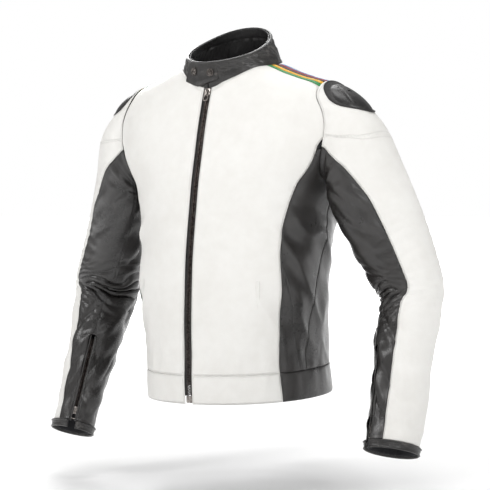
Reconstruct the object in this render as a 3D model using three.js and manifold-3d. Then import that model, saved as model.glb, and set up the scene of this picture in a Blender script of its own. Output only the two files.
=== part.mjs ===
// A leather riding jacket, shaped as if it is worn, in millimetres with +Z up.
// The origin is the middle of the neck ring. The chest faces -Y and the wearer's left arm is at +X.
// Left-hand pieces are modelled, and a mirrored group holds their right-hand twins.
import * as THREE from "three";
import { ParametricGeometry } from "three/addons/geometries/ParametricGeometry.js";
import { mergeVertices } from "three/addons/utils/BufferGeometryUtils.js";
import Module from "manifold-3d";

const wasm = await Module();
wasm.setup();

// ---------------------------------------------------------------- driving dimensions
const FIT = 0.3; // clearance between pieces that touch
const SEAM = FIT / 2; // each panel stops this far short of its seam
const LEATHER = 1.4;
const LINING = 1.2;
const LINING_INSET = 5.4; // from the outer face of the leather to the outer face of the lining

const BODY_LENGTH = 579; // neck ring down to the hem
const ARMPIT_DEPTH = 215;
const WAISTBAND_HEIGHT = 49;
const CHEST_RADIUS = 1550; // the zip runs down an arc of this radius
const CHEST_DROP = 579; // the arc stands furthest forward this far below the neck ring
const CHEST_FRONT = 165; // its forward reach there

const NECK_HALF_WIDTH = 92;
const NECK_HALF_DEPTH = 75;
const NECK_CENTRE_Y = 5;
const COLLAR_HEIGHT = 35; // at the front
const COLLAR_RISE = 12; // extra height at the back
const COLLAR_LEAN = 16; // how far the top edge leans in at the sides
const COLLAR_THICKNESS = 2.6;
const COLLAR_SLICES = 36;
const COLLAR_LINING = 2;

const STRIPE_WIDTH = 10;
const STRIPES_FRONT = -17; // front edge of the first stripe

const ELBOW = [329, 38, -400];
const FOREARM_LENGTH = 280; // elbow to the end of the sleeve
const CUFF_HEIGHT = 26;

const ZIP_GAP = 8; // half the distance between the leather edges
const TAPE_HALF_WIDTH = 14;
const TAPE_THICKNESS = 0.8;
const TAPE_DEPTH = 3.2; // below the face of the leather
const TEETH_HALF_WIDTH = 3.2;
const TEETH_THICKNESS = 2.6;
const TEETH_SLIT = 0.6; // half the slit that the slider's web runs in
const SLIDER_LENGTH = 12;
const SLIDER_HALF_WIDTH = 5.5;
const PLATE = 1.4;

const CUFF_ZIP_LENGTH = 150;
const CUFF_ZIP_GAP = 6.5;
const CUFF_ZIP_ANGLE = 125; // around the sleeve, from the outer line towards the front

const CAP_THICKNESS = 8;
const PROTECTOR_THICKNESS = 5;
const SNAP_RADIUS = 7;

// ---------------------------------------------------------------- small helpers
const degrees = (angle) => (angle * Math.PI) / 180;
const vector = (x, y, z) => new THREE.Vector3(x, y, z);
const range = (count) => Array.from({ length: count }, (_, i) => i);

// A smooth curve through [position, value] pairs whose positions rise.
function smooth(pairs, position) {
  const last = pairs.length - 1;
  const slope = (i) => {
    const [a, b] = [pairs[Math.max(i - 1, 0)], pairs[Math.min(i + 1, last)]];
    return (b[1] - a[1]) / (b[0] - a[0]);
  };
  const x = THREE.MathUtils.clamp(position, pairs[0][0], pairs[last][0]);
  const i = Math.max(0, pairs.findLastIndex((pair, k) => k < last && pair[0] <= x));
  const [[x0, y0], [x1, y1]] = [pairs[i], pairs[i + 1]];
  const h = x1 - x0;
  const t = (x - x0) / h;
  const start = (2 * t ** 3 - 3 * t ** 2 + 1) * y0 + (t ** 3 - 2 * t ** 2 + t) * h * slope(i);
  return start + (3 * t ** 2 - 2 * t ** 3) * y1 + (t ** 3 - t ** 2) * h * slope(i + 1);
}

// The larger of two values, with a rounded change-over of the given size.
function roundedMax(a, b, size) {
  const share = THREE.MathUtils.clamp(0.5 - (0.5 * (b - a)) / size, 0, 1);
  return b + (a - b) * share + size * share * (1 - share);
}

// ---------------------------------------------------------------- solids
// A closed geometry as a solid, with its shared vertices merged and its faces pointing out.
function solid(geometry) {
  geometry.deleteAttribute("normal");
  geometry.deleteAttribute("uv");
  const merged = mergeVertices(geometry, 1e-3);
  const index = merged.index ? merged.index.array : range(merged.attributes.position.count);
  const corners = [];
  for (let i = 0; i < index.length; i += 3) {
    const [a, b, c] = [index[i], index[i + 1], index[i + 2]];
    if (a !== b && b !== c && c !== a) corners.push(a, b, c);
  }
  const build = (triVerts) => {
    const vertProperties = merged.attributes.position.array;
    return new wasm.Manifold(new wasm.Mesh({ numProp: 3, vertProperties, triVerts: Uint32Array.from(triVerts) }));
  };
  const made = build(corners);
  return made.volume() > 0 ? made : build(corners.toReversed());
}

// A solid through closed rings: ring(k, turn) is a point on ring k, with turn from 0 to 1 around it.
function loft(ring, rings, slices) {
  const middle = (k) => {
    const sum = vector(0, 0, 0);
    range(slices).forEach((i) => sum.add(ring(k, i / slices)));
    return sum.divideScalar(slices);
  };
  const ends = [middle(0), middle(rings - 1)];
  const surface = (u, v, target) => {
    const k = Math.round(v * (rings + 1)) - 1;
    if (k < 0) target.copy(ends[0]);
    else if (k === rings) target.copy(ends[1]);
    else target.copy(ring(k, (Math.round(u * slices) % slices) / slices));
  };
  return solid(new ParametricGeometry(surface, slices, rings + 1));
}

// A closed band: wall(turn, k) is corner k of its section at that turn around the band.
function band(wall, corners, slices) {
  const surface = (u, v, target) => {
    const turn = (Math.round(u * slices) % slices) / slices;
    target.copy(wall(turn, Math.round(v * corners) % corners));
  };
  return solid(new ParametricGeometry(surface, slices, corners));
}

// An outline of [a, b] points, extruded: a and b lie along the first two axes, the depth along the third.
function prism(outline, axes, start, depth) {
  const shape = new THREE.Shape(outline.map(([a, b]) => new THREE.Vector2(a, b)));
  const geometry = new THREE.ExtrudeGeometry(shape, { depth, bevelEnabled: false });
  const [a, b, c] = axes.map((axis) => vector(...axis));
  const place = new THREE.Matrix4().makeBasis(a, b, c);
  place.setPosition(c.clone().multiplyScalar(start));
  return solid(geometry.applyMatrix4(place));
}
const X = [1, 0, 0];
const Y = [0, 1, 0];
const Z = [0, 0, 1];
const sideView = (outline, from, to) => prism(outline, [Y, Z, X], from, to - from);
const frontView = (outline) => prism(outline, [X, Z, [0, -1, 0]], -FAR, 2 * FAR);
const topView = (outline, from, to) => prism(outline, [X, Y, Z], from, to - from);
const FAR = 400; // past the jacket on every side

const rectangle = (a0, a1, b0, b1) => [[a0, b0], [a1, b0], [a1, b1], [a0, b1]];
const ellipse = (cx, cy, rx, ry, count) =>
  range(count).map((i) => {
    const turn = (2 * Math.PI * i) / count;
    return [cx + rx * Math.cos(turn), cy + ry * Math.sin(turn)];
  });
// A smooth run of points through a few [a, b] points.
const curve = (points, count) =>
  new THREE.SplineCurve(points.map(([a, b]) => new THREE.Vector2(a, b))).getPoints(count).map((p) => [p.x, p.y]);
const shifted = (points, da, db) => points.map(([a, b]) => [a + da, b + db]);

const placed = (made, matrix) => solid(geometryOf(made).applyMatrix4(matrix));
const mirrored = (made) => placed(made, new THREE.Matrix4().makeScale(-1, 1, 1));

function geometryOf(made) {
  const mesh = made.getMesh();
  const geometry = new THREE.BufferGeometry();
  geometry.setAttribute("position", new THREE.BufferAttribute(new Float32Array(mesh.vertProperties), 3));
  geometry.setIndex(new THREE.BufferAttribute(new Uint32Array(mesh.triVerts), 1));
  return geometry;
}

// ---------------------------------------------------------------- form of the body
const HEM_Z = -BODY_LENGTH;
const WAIST_Z = HEM_Z + WAISTBAND_HEIGHT;
const ARMPIT_Z = -ARMPIT_DEPTH;
// Height at a share of the way from the armpit down to the hem.
const fall = (share) => ARMPIT_Z + share * (HEM_Z - ARMPIT_Z);

// The body's half width, its back depth and the squareness of its section, from below the hem to the neck.
const BODY_STATIONS = [
  { z: fall(1.13), halfWidth: 163, back: 132, power: 2.15 },
  { z: fall(1), halfWidth: 162, back: 132, power: 2.15 },
  { z: fall(0.79), halfWidth: 158, back: 130, power: 2.15 },
  { z: fall(0.65), halfWidth: 163, back: 121, power: 2.15 },
  { z: fall(0.52), halfWidth: 170, back: 117, power: 2.2 },
  { z: fall(0.38), halfWidth: 174, back: 123, power: 2.2 },
  { z: fall(0.17), halfWidth: 178, back: 141, power: 2.3 },
  { z: ARMPIT_Z, halfWidth: 192, back: 147, power: 2.4 },
  { z: -190, halfWidth: 209, back: 148, power: 2.4 },
  { z: -155, halfWidth: 231, back: 146, power: 2.4 },
  { z: -115, halfWidth: 238, back: 140, power: 2.45 },
  { z: -90, halfWidth: 235, back: 134, power: 2.5 },
  { z: -40, halfWidth: 225, back: 112, power: 2.5 },
  { z: 30, halfWidth: 215, back: 80, power: 2.5 },
];
const bodyAt = (key, z) => smooth(BODY_STATIONS.map((station) => [station.z, station[key]]), z);
const frontAt = (z) => CHEST_RADIUS - CHEST_FRONT - Math.sqrt(CHEST_RADIUS ** 2 - (z + CHEST_DROP) ** 2);

// Height of the shoulder line, by distance from the middle.
const SHOULDER_LINE = [[0, 4], [60, -1], [90, -8], [120, -20], [160, -33], [200, -43], [240, -60], [300, -95]];
const SHOULDER_RIDGE_Y = 8;
const SHOULDER_CURVE = 260;
const SHOULDER_SLOPE = 0.37;

// How far a point lies outside the body's outer face, in millimetres near the face.
function bodyField(x, y, z) {
  const front = frontAt(z);
  const back = bodyAt("back", z);
  const power = bodyAt("power", z);
  const middle = (front + back) / 2;
  const across = Math.abs(x / bodyAt("halfWidth", z)) ** power;
  const along = Math.abs((y - middle) / ((back - front) / 2)) ** power;
  const reach = Math.max((across + along) ** (1 / power), 1e-6);
  const side = Math.hypot(x, y - middle) * (1 - 1 / reach);
  const drop = (y - SHOULDER_RIDGE_Y) ** 2 / SHOULDER_CURVE;
  const top = (z - smooth(SHOULDER_LINE, Math.abs(x)) + drop) / Math.hypot(1, SHOULDER_SLOPE);
  const rounding = 12 + 33 * THREE.MathUtils.smoothstep(Math.abs(x), 0, 100);
  return roundedMax(side, top, rounding);
}

// The distance along a ray at which the point stands at the given inset from the body's face.
function reachOf(pointAt, inset, furthest) {
  let [near, far] = [0, furthest];
  for (let i = 0; i < 40; i++) {
    const middle = (near + far) / 2;
    const point = pointAt(middle);
    if (bodyField(point.x, point.y, point.z) < -inset) near = middle;
    else far = middle;
  }
  return near;
}

// Rings of rays: level ones up to the chest, then ones that tilt up over the shoulders from one point.
const RAY_CENTRE_Y = 5;
const LEVELS = [1.13, 1.02, 0.79, 0.65, 0.52, 0.38, 0.17].map(fall).concat([ARMPIT_Z, -180, -150]);
const TILTS = [10, 20, 30, 40, 50, 62, 80];
function bodySolid(inset, slices, below = 0) {
  const ring = (k, turn) => {
    const tilt = k < LEVELS.length ? 0 : degrees(TILTS[k - LEVELS.length]);
    const z = k < LEVELS.length ? LEVELS[k] : LEVELS.at(-1);
    const angle = 2 * Math.PI * turn;
    const direction = vector(Math.cos(angle) * Math.cos(tilt), Math.sin(angle) * Math.cos(tilt), Math.sin(tilt));
    const centre = vector(0, RAY_CENTRE_Y, z);
    const along = (distance) => centre.clone().addScaledVector(direction, distance);
    const point = along(reachOf(along, inset, FAR));
    return k === 0 ? point.setZ(z - below) : point;
  };
  return loft(ring, LEVELS.length + TILTS.length, slices);
}

// ---------------------------------------------------------------- form of the sleeve
// Distance of the armhole seam from the middle, by height.
const ARMHOLE = [[-260, 182], [-215, 193.5], [-190, 201], [-155, 212], [-115, 217], [-90, 212], [-62, 198], [-30, 196]];
const ARMHOLE_CENTRE = { y: 8, z: -125 };
const EASE = 25; // the sleeve's solid starts this far inside the armhole, to be cut back to the seam

// Sections of the sleeve past the armhole: its centre, the lift of its outer and front directions, its two
// half widths and how far the wider one is turned towards the back.
const FOREARM = vector(11.5, -93.7, -220).normalize();
const forearmPoint = (distance) => vector(...ELBOW).add(vector(1, -9, -29)).addScaledVector(FOREARM, distance - 31);
const SLEEVE_STATIONS = [
  { at: vector(241, 12, -170), lift: 55, tip: 0, wide: 74, narrow: 57, turn: -10 },
  { at: vector(262, 17, -225), lift: 24, tip: -3, wide: 68, narrow: 51, turn: -36 },
  { at: vector(296, 27, -310), lift: 20, tip: -7, wide: 63.6, narrow: 51.2, turn: -36 },
  { at: vector(...ELBOW).add(vector(-10, -3, 30)), lift: 14, tip: -2, wide: 57, narrow: 57, turn: -36 },
  { at: vector(...ELBOW), lift: 10, tip: 5, wide: 51.5, narrow: 58, turn: -36 },
  { at: forearmPoint(31), lift: 6, tip: 14, wide: 51.5, narrow: 54, turn: -36 },
  { at: forearmPoint(0.39 * FOREARM_LENGTH), lift: 3, tip: 23, wide: 48.7, narrow: 46.5, turn: -36 },
  { at: forearmPoint(0.7 * FOREARM_LENGTH), lift: 3, tip: 23, wide: 46.3, narrow: 38.5, turn: -36 },
  { at: forearmPoint(FOREARM_LENGTH), lift: 3, tip: 23, wide: 43.5, narrow: 34.5, turn: -36 },
  { at: forearmPoint(FOREARM_LENGTH + 45), lift: 3, tip: 23, wide: 42, narrow: 34, turn: -36 },
];
const ARMHOLE_RING = 1; // ring 0 is the eased start, ring 1 the armhole
const RINGS = SLEEVE_STATIONS.length + 2;
const ringOf = (station) => station + ARMHOLE_RING + 1;
const ABOVE_ELBOW = ringOf(3);
const BELOW_ELBOW = ringOf(5);
const SLEEVE_END = ringOf(8);

// A point of the armhole seam, or inset from it: angle 0 is its top and 90 degrees its front.
function armholePoint(angle, inset) {
  const along = (distance) => {
    const z = ARMHOLE_CENTRE.z + distance * Math.cos(angle);
    return vector(smooth(ARMHOLE, z), ARMHOLE_CENTRE.y - distance * Math.sin(angle), z);
  };
  return along(reachOf(along, inset, 150));
}

function stationPoint(station, angle, inset, scale) {
  const lift = degrees(station.lift);
  const tip = degrees(station.tip);
  const turned = angle - degrees(station.turn);
  const radius = 1 / Math.hypot(Math.cos(turned) / station.wide, Math.sin(turned) / station.narrow);
  const outer = vector(Math.cos(lift), 0, Math.sin(lift)).multiplyScalar(Math.cos(angle));
  const front = vector(0, -Math.cos(tip), Math.sin(tip)).multiplyScalar(Math.sin(angle));
  return station.at.clone().addScaledVector(outer.add(front), (radius - inset) * scale);
}

// The line that runs down the sleeve at one angle, as a curve through its rings.
function sleeveLine(angle, inset, scale = 1, ease = EASE) {
  const seam = armholePoint(angle, inset);
  const centre = vector(smooth(ARMHOLE, ARMHOLE_CENTRE.z), ARMHOLE_CENTRE.y, ARMHOLE_CENTRE.z);
  seam.sub(centre).multiplyScalar(scale).add(centre);
  const points = SLEEVE_STATIONS.map((station) => stationPoint(station, angle, inset, scale));
  return new THREE.CatmullRomCurve3([seam.clone().setX(seam.x - ease), seam, ...points], false, "catmullrom", 0.5);
}
const sleevePoint = (line, ring) => line.getPoint(ring / (RINGS - 1));

const BODY_SLICES = 36;
const SLEEVE_SLICES = 16;
const SLEEVE_STEPS = [0, 1, 1.5, 2, 2.5, 3, 4, 5, 6, 7, 8, 9, 10, 10.5];
function sleeveSolid(inset, slices, steps = SLEEVE_STEPS, ease = EASE) {
  const lines = range(slices).map((i) => sleeveLine((2 * Math.PI * i) / slices, inset, 1, ease));
  return loft((k, turn) => sleevePoint(lines[Math.round(turn * slices)], steps[k]), steps.length, slices);
}

// Ring number at a distance down the forearm.
const FOREARM_RINGS = [[31, BELOW_ELBOW], [0.39 * FOREARM_LENGTH, 8], [0.7 * FOREARM_LENGTH, 9], [FOREARM_LENGTH, SLEEVE_END]];
const forearmRing = (distance) => smooth(FOREARM_RINGS, distance);
const CUFF_RING = forearmRing(FOREARM_LENGTH - CUFF_HEIGHT);

// The seams between the white outside and the black inside of the sleeve, as angles by ring.
const SLEEVE_FRONT_SEAM = [[0, 117], [1, 117], [2, 93], [2.5, 80], [3.5, 61], [5, 61], [6, 66], [7, 77], [8, 80], [10, 85], [11, 85]];
const SLEEVE_BACK_SEAM = [[0, 242], [1, 242], [3, 250], [11, 250]];
const RING_GAP = 0.005; // the seam allowance in ring numbers, near the elbow
const ANGLE_GAP = 0.2; // the seam allowance in degrees
const CUTTER_REACH = 1.5;
const stepsBetween = (from, to) => [from, ...SLEEVE_STEPS.filter((s) => s > from + 0.1 && s < to - 0.1), to];

// The whole sleeve between two rings, oversize, to cut with.
function sleeveSection(from, to) {
  const steps = stepsBetween(from, to);
  const lines = range(SLEEVE_SLICES).map((i) => sleeveLine((2 * Math.PI * i) / SLEEVE_SLICES, 0, CUTTER_REACH));
  return loft((k, turn) => sleevePoint(lines[Math.round(turn * SLEEVE_SLICES)], steps[k]), steps.length, SLEEVE_SLICES);
}

// A wedge of the sleeve between two rings, from one angle to another, both by ring. It can overrun its ends.
const FAN = 7;
function sleeveWedge(from, to, fromAngle, toAngle, overrun = 0) {
  const steps = stepsBetween(from, to);
  if (overrun > 0) steps.splice(0, 1, Math.max(from - overrun, 0), from);
  if (overrun > 0) steps.push(to + overrun);
  const corner = (k, turn) => {
    const i = Math.round(turn * (FAN + 2));
    if (i > FAN) return sleevePoint(sleeveLine(0, 0, 0.001), steps[k]);
    const angle = THREE.MathUtils.lerp(fromAngle(steps[k]), toAngle(steps[k]), i / FAN);
    return sleevePoint(sleeveLine(degrees(angle), 0, CUTTER_REACH), steps[k]);
  };
  return loft(corner, steps.length, FAN + 2);
}
const frontSeamAt = (ring) => smooth(SLEEVE_FRONT_SEAM, ring);
const backSeamAt = (ring) => smooth(SLEEVE_BACK_SEAM, ring);
const blackSide = (from, to, gap = ANGLE_GAP, overrun = 0) =>
  sleeveWedge(from, to, (ring) => frontSeamAt(ring) + gap, (ring) => backSeamAt(ring) - gap, overrun);

// ---------------------------------------------------------------- seams
// Front edge, side seam and back edge of the black side panel, as [depth, height].
const APEX_Z = -155;
const SIDE_FRONT = [[-50, APEX_Z], [-54, -185], [-63, ARMPIT_Z], [-79, fall(0.17)], [-87, fall(0.3)],
  [-91, fall(0.52)], [-91, fall(0.8)], [-90, fall(1.1)]];
const SIDE_SEAM = [[16, APEX_Z], [16, fall(0.19)], [2, fall(0.37)], [-22, fall(0.54)], [-38, fall(0.86)], [-40, fall(1.1)]];
const SIDE_BACK = [[64, APEX_Z], [70, -185], [78, ARMPIT_Z], [86, fall(0.17)], [88, fall(0.3)],
  [84, fall(0.52)], [88, fall(0.8)], [92, fall(1.1)]];
const SHOULDER_SEAM_Z = -100; // below this the armhole has taken the place of the shoulder
const STRIPES_BACK = STRIPES_FRONT + 5 * STRIPE_WIDTH;
const SEAM_POINTS = 9;

const frontRun = (gap) => shifted(curve(SIDE_FRONT, SEAM_POINTS), gap, 0);
const seamRun = (gap) => shifted(curve(SIDE_SEAM, SEAM_POINTS), gap, 0);
const backRun = (gap) => shifted(curve(SIDE_BACK, SEAM_POINTS), gap, 0);
const shoulderFront = [[STRIPES_FRONT - SEAM, 60], [STRIPES_FRONT - SEAM, SHOULDER_SEAM_Z]];
const shoulderBack = [[STRIPES_BACK + SEAM, 60], [STRIPES_BACK + SEAM, SHOULDER_SEAM_Z]];
const outlines = {
  front: [[-FAR, 60], ...shoulderFront, ...frontRun(-SEAM), [-FAR, fall(1.1)]],
  sideFront: [...frontRun(SEAM), ...seamRun(-SEAM).toReversed()],
  sideBack: [...seamRun(SEAM), ...backRun(-SEAM).toReversed()],
  side: [...frontRun(SEAM), ...backRun(-SEAM).toReversed()],
  back: [[FAR, 60], ...shoulderBack, ...backRun(SEAM), [FAR, fall(1.1)]],
};

const armholeRun = (gap) => shifted(curve(ARMHOLE.map(([z, x]) => [x, z]), 14), gap, 0);
const armholeSide = (gap) => [[armholeRun(gap)[0][0], -2 * FAR], ...armholeRun(gap), [armholeRun(gap).at(-1)[0], 100]];
const otherSide = (points) => points.map(([a, b]) => [-a, b]).toReversed();
const betweenArmholes = frontView([...armholeSide(-SEAM), ...otherSide(armholeSide(-SEAM))]);
const outsideArmhole = frontView([[2 * FAR, -2 * FAR], ...armholeSide(SEAM), [2 * FAR, 100]]);
const neckHole = topView(
  ellipse(0, NECK_CENTRE_Y, NECK_HALF_WIDTH + FIT, NECK_HALF_DEPTH + FIT, COLLAR_SLICES), -150, 120,
);
const level = (from, to) => topView(rectangle(-FAR, FAR, -FAR, FAR), from, to);

// ---------------------------------------------------------------- body leather
const bodyShell = bodySolid(0, BODY_SLICES)
  .subtract(bodySolid(LEATHER, BODY_SLICES, 20))
  .subtract(neckHole)
  .intersect(betweenArmholes);
const aboveWaist = bodyShell.intersect(level(WAIST_Z + SEAM, 100));
const belowWaist = bodyShell.intersect(level(HEM_Z, WAIST_Z - SEAM));
const leftPart = (shell, outline, from = 20) => shell.intersect(sideView(outline, from, FAR));

function stripe(number) {
  const front = STRIPES_FRONT + number * STRIPE_WIDTH;
  const outline = rectangle(0, FAR, front + SEAM, front + STRIPE_WIDTH - SEAM);
  return bodyShell.intersect(topView(outline, SHOULDER_SEAM_Z, 100));
}

// A welt stands on the face of the front panel, round the mouth of the pocket.
const WELT = { x: 122, width: 6, top: -372, bottom: -418, proud: 1.6 };
function pocketWelt() {
  const face = bodySolid(-WELT.proud, BODY_SLICES).subtract(bodySolid(-FIT, BODY_SLICES, 20));
  const outline = rectangle(WELT.x - WELT.width / 2, WELT.x + WELT.width / 2, WELT.bottom, WELT.top);
  return face.intersect(frontView(outline)).intersect(sideView(rectangle(-FAR, 0, -FAR * 2, 0), 0, FAR));
}

// ---------------------------------------------------------------- sleeve leather
const beyondEnd = [...SLEEVE_STEPS, RINGS - 1];
const sleeveHollow = (inset, slices) => sleeveSolid(inset, slices, beyondEnd, 2 * EASE);
const sleeveShell = sleeveSolid(0, SLEEVE_SLICES)
  .subtract(sleeveHollow(LEATHER, SLEEVE_SLICES))
  .intersect(outsideArmhole);
const upperEnd = ABOVE_ELBOW - RING_GAP;
const forearmStart = BELOW_ELBOW + RING_GAP;
const forearmEnd = CUFF_RING - RING_GAP;

// The white outside of the sleeve is what the black inside leaves, with the seam allowance on both.
function whiteSide(from, to) {
  return sleeveShell.intersect(sleeveSection(from, to)).subtract(blackSide(from, to, -ANGLE_GAP, 0.2));
}

// The cuff zip's frame: x across it, y out of the sleeve and z up the forearm.
const cuffZipLine = sleeveLine(degrees(CUFF_ZIP_ANGLE), 0);
const cuffZipFoot = sleevePoint(cuffZipLine, forearmEnd);
const cuffZipFrame = (() => {
  const head = sleevePoint(cuffZipLine, forearmRing(FOREARM_LENGTH - CUFF_HEIGHT - CUFF_ZIP_LENGTH));
  const up = head.clone().sub(cuffZipFoot).normalize();
  const centre = forearmPoint(FOREARM_LENGTH - CUFF_HEIGHT);
  const out = cuffZipFoot.clone().sub(centre);
  out.addScaledVector(up, -out.dot(up)).normalize();
  return new THREE.Matrix4().makeBasis(out.clone().cross(up), out, up).setPosition(cuffZipFoot);
})();
const atCuffZip = (made) => placed(made, cuffZipFrame);
const block = (x0, x1, y0, y1, z0, z1) => topView(rectangle(x0, x1, y0, y1), z0, z1);

const cuffSlot = atCuffZip(block(-CUFF_ZIP_GAP, CUFF_ZIP_GAP, -14, 10, -60, CUFF_ZIP_LENGTH));
const CUFF_PROUD = 1;
function cuffBand() {
  const outer = sleeveSolid(-CUFF_PROUD, SLEEVE_SLICES);
  const wall = outer.subtract(sleeveHollow(LEATHER + 0.4, SLEEVE_SLICES));
  return wall.intersect(sleeveSection(CUFF_RING, SLEEVE_END)).subtract(cuffSlot);
}

// ---------------------------------------------------------------- collar
// Heights of the collar's foot and rim, by depth.
const COLLAR_FOOT = [[-70, -39], [-48, -22], [-22, -14], [40, -7], [80, -1]];
const COLLAR_RIM = [[-71, -36 + COLLAR_HEIGHT], [-28, 14], [26, 35], [67, 44 + COLLAR_RISE]];
const COLLAR_BACKSET = 7; // how far the rim stands forward of the foot

// A point of the collar: turn from 0 at the left side towards the back, height from 0 to 1.
function collarPoint(turn, height, inset) {
  const angle = 2 * Math.PI * turn;
  const halfWidth = NECK_HALF_WIDTH - COLLAR_LEAN * height - inset;
  const halfDepth = NECK_HALF_DEPTH - 0.4 * COLLAR_LEAN * height - inset;
  const y = NECK_CENTRE_Y - COLLAR_BACKSET * height + halfDepth * Math.sin(angle);
  const footY = NECK_CENTRE_Y + NECK_HALF_DEPTH * Math.sin(angle);
  const rimY = footY - COLLAR_BACKSET - 0.4 * COLLAR_LEAN * Math.sin(angle);
  const z = THREE.MathUtils.lerp(smooth(COLLAR_FOOT, footY), smooth(COLLAR_RIM, rimY), height);
  return vector(halfWidth * Math.cos(angle), y, z);
}
function collarRing(outer, inner, low, high) {
  const corners = [[low, outer], [high, outer], [high, inner], [low, inner]];
  return band((turn, k) => collarPoint(turn, ...corners[k]), 4, COLLAR_SLICES);
}
const frontSlit = (halfWidth) => topView(rectangle(-halfWidth, halfWidth, -FAR, 0), -100, 200);
const COLLAR_SLIT = 1.5;
const collarBand = collarRing(0, COLLAR_THICKNESS, 0, 1).subtract(frontSlit(COLLAR_SLIT));
const liningInset = COLLAR_THICKNESS + 5 * FIT;
const collarLining = collarRing(liningInset, liningInset + COLLAR_LINING, 0.06, 0.98).subtract(frontSlit(6));

// The tab wraps over the front of the collar, from its root on the left to its free end on the right.
const TAB = { root: 20, end: -45, low: 0.2, high: 0.98, thickness: 2.4, steps: 10 };
const turnAt = (x) => 1 - Math.acos(x / (NECK_HALF_WIDTH - COLLAR_LEAN / 2)) / (2 * Math.PI);
function collarTab() {
  const corners = [[TAB.low, -FIT - TAB.thickness], [TAB.high, -FIT - TAB.thickness], [TAB.high, -FIT], [TAB.low, -FIT]];
  const ring = (k, turn) => {
    const at = turnAt(THREE.MathUtils.lerp(TAB.root, TAB.end, k / (TAB.steps - 1)));
    return collarPoint(at, ...corners[Math.round(turn * 4)]);
  };
  return loft(ring, TAB.steps, 4);
}
// A disc or other piece turned about its own z axis, set on the tab facing out.
function onTab(made, x) {
  const foot = collarPoint(turnAt(x), 0.52, -2 * FIT - TAB.thickness);
  const up = collarPoint(turnAt(x), 1, 0).sub(collarPoint(turnAt(x), 0, 0)).normalize();
  const along = collarPoint(turnAt(x + 1), 0.5, 0).sub(collarPoint(turnAt(x - 1), 0.5, 0)).normalize();
  const out = along.clone().cross(up).normalize();
  return placed(made, new THREE.Matrix4().makeBasis(along, out.clone().cross(along), out).setPosition(foot));
}
const lathe = (profile, segments) =>
  solid(new THREE.LatheGeometry(profile.map(([r, z]) => new THREE.Vector2(r, z)), segments).rotateX(Math.PI / 2));
const SNAP_PROFILE = [[0, 0], [SNAP_RADIUS, 0], [SNAP_RADIUS, 1], [0.7 * SNAP_RADIUS, 2.1], [0, 2.4]];
const snapCap = (x) => onTab(lathe(SNAP_PROFILE, 20), x);
const SNAP_XS = { outer: -28, inner: 8 };

// ---------------------------------------------------------------- main zip
const ARC_CENTRE = { y: CHEST_RADIUS - CHEST_FRONT, z: -CHEST_DROP };
const ZIP_TOP_Z = -44;
const ZIP_FOOT = 14; // above the hem
const arcAngle = (z) => Math.asin((z - ARC_CENTRE.z) / CHEST_RADIUS);
const SLIDER_Z = ZIP_TOP_Z - 8;
function arcBar(x0, x1, depth0, depth1, from, to, steps) {
  const corners = rectangle(x0, x1, depth0, depth1);
  const ring = (k, turn) => {
    const [x, depth] = corners[Math.round(turn * 4)];
    const angle = THREE.MathUtils.lerp(from, to, k / (steps - 1));
    const radius = CHEST_RADIUS - depth;
    return vector(x, ARC_CENTRE.y - radius * Math.cos(angle), ARC_CENTRE.z + radius * Math.sin(angle));
  };
  return loft(ring, steps, 4);
}
const TEETH_TOP = TAPE_DEPTH + TAPE_THICKNESS / 2 - TEETH_THICKNESS / 2;
const TEETH_BOTTOM = TEETH_TOP + TEETH_THICKNESS;
function zipTape() {
  const from = arcAngle(HEM_Z + ZIP_FOOT);
  const to = arcAngle(ZIP_TOP_Z);
  const tape = arcBar(TEETH_SLIT, TAPE_HALF_WIDTH, TAPE_DEPTH, TAPE_DEPTH + TAPE_THICKNESS, from, to, 16);
  return tape.add(arcBar(TEETH_SLIT, TEETH_HALF_WIDTH, TEETH_TOP, TEETH_BOTTOM, from, to, 16));
}
function bottomBox() {
  const to = arcAngle(HEM_Z + ZIP_FOOT - FIT);
  const from = arcAngle(HEM_Z + 2);
  return arcBar(-SLIDER_HALF_WIDTH, SLIDER_HALF_WIDTH, TEETH_TOP - 1, TEETH_BOTTOM + 0.6, from, to, 2);
}

// A slider in its own frame: x across, y out of the zip, z towards its head, with 0 at the face of the teeth.
const BAIL = { radius: 2.6, hole: 1.6, width: 2 };
const BAIL_Y = FIT + PLATE + BAIL.hole + 0.4;
const BAIL_Z = 2;
const PULL = { width: 8, length: 19, bar: 1.3, thickness: 1.2 };
function sliderSolid(tapeHalfDepth) {
  const half = SLIDER_LENGTH / 2;
  const front = block(-SLIDER_HALF_WIDTH, SLIDER_HALF_WIDTH, FIT, FIT + PLATE, -half, half);
  const backFace = -tapeHalfDepth - FIT;
  const back = block(-SLIDER_HALF_WIDTH, SLIDER_HALF_WIDTH, backFace - PLATE, backFace, -half, half);
  const web = block(-TEETH_SLIT / 2, TEETH_SLIT / 2, backFace - PLATE / 2, FIT + PLATE / 2, half - 4, half);
  const ring = (radius) => ellipse(BAIL_Y, BAIL_Z, radius, radius, 12);
  const eye = sideView(ring(BAIL.hole), -BAIL.width, BAIL.width);
  const bail = sideView(ring(BAIL.radius), -BAIL.width / 2, BAIL.width / 2).subtract(eye);
  return front.add(back).add(web).add(bail);
}
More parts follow.
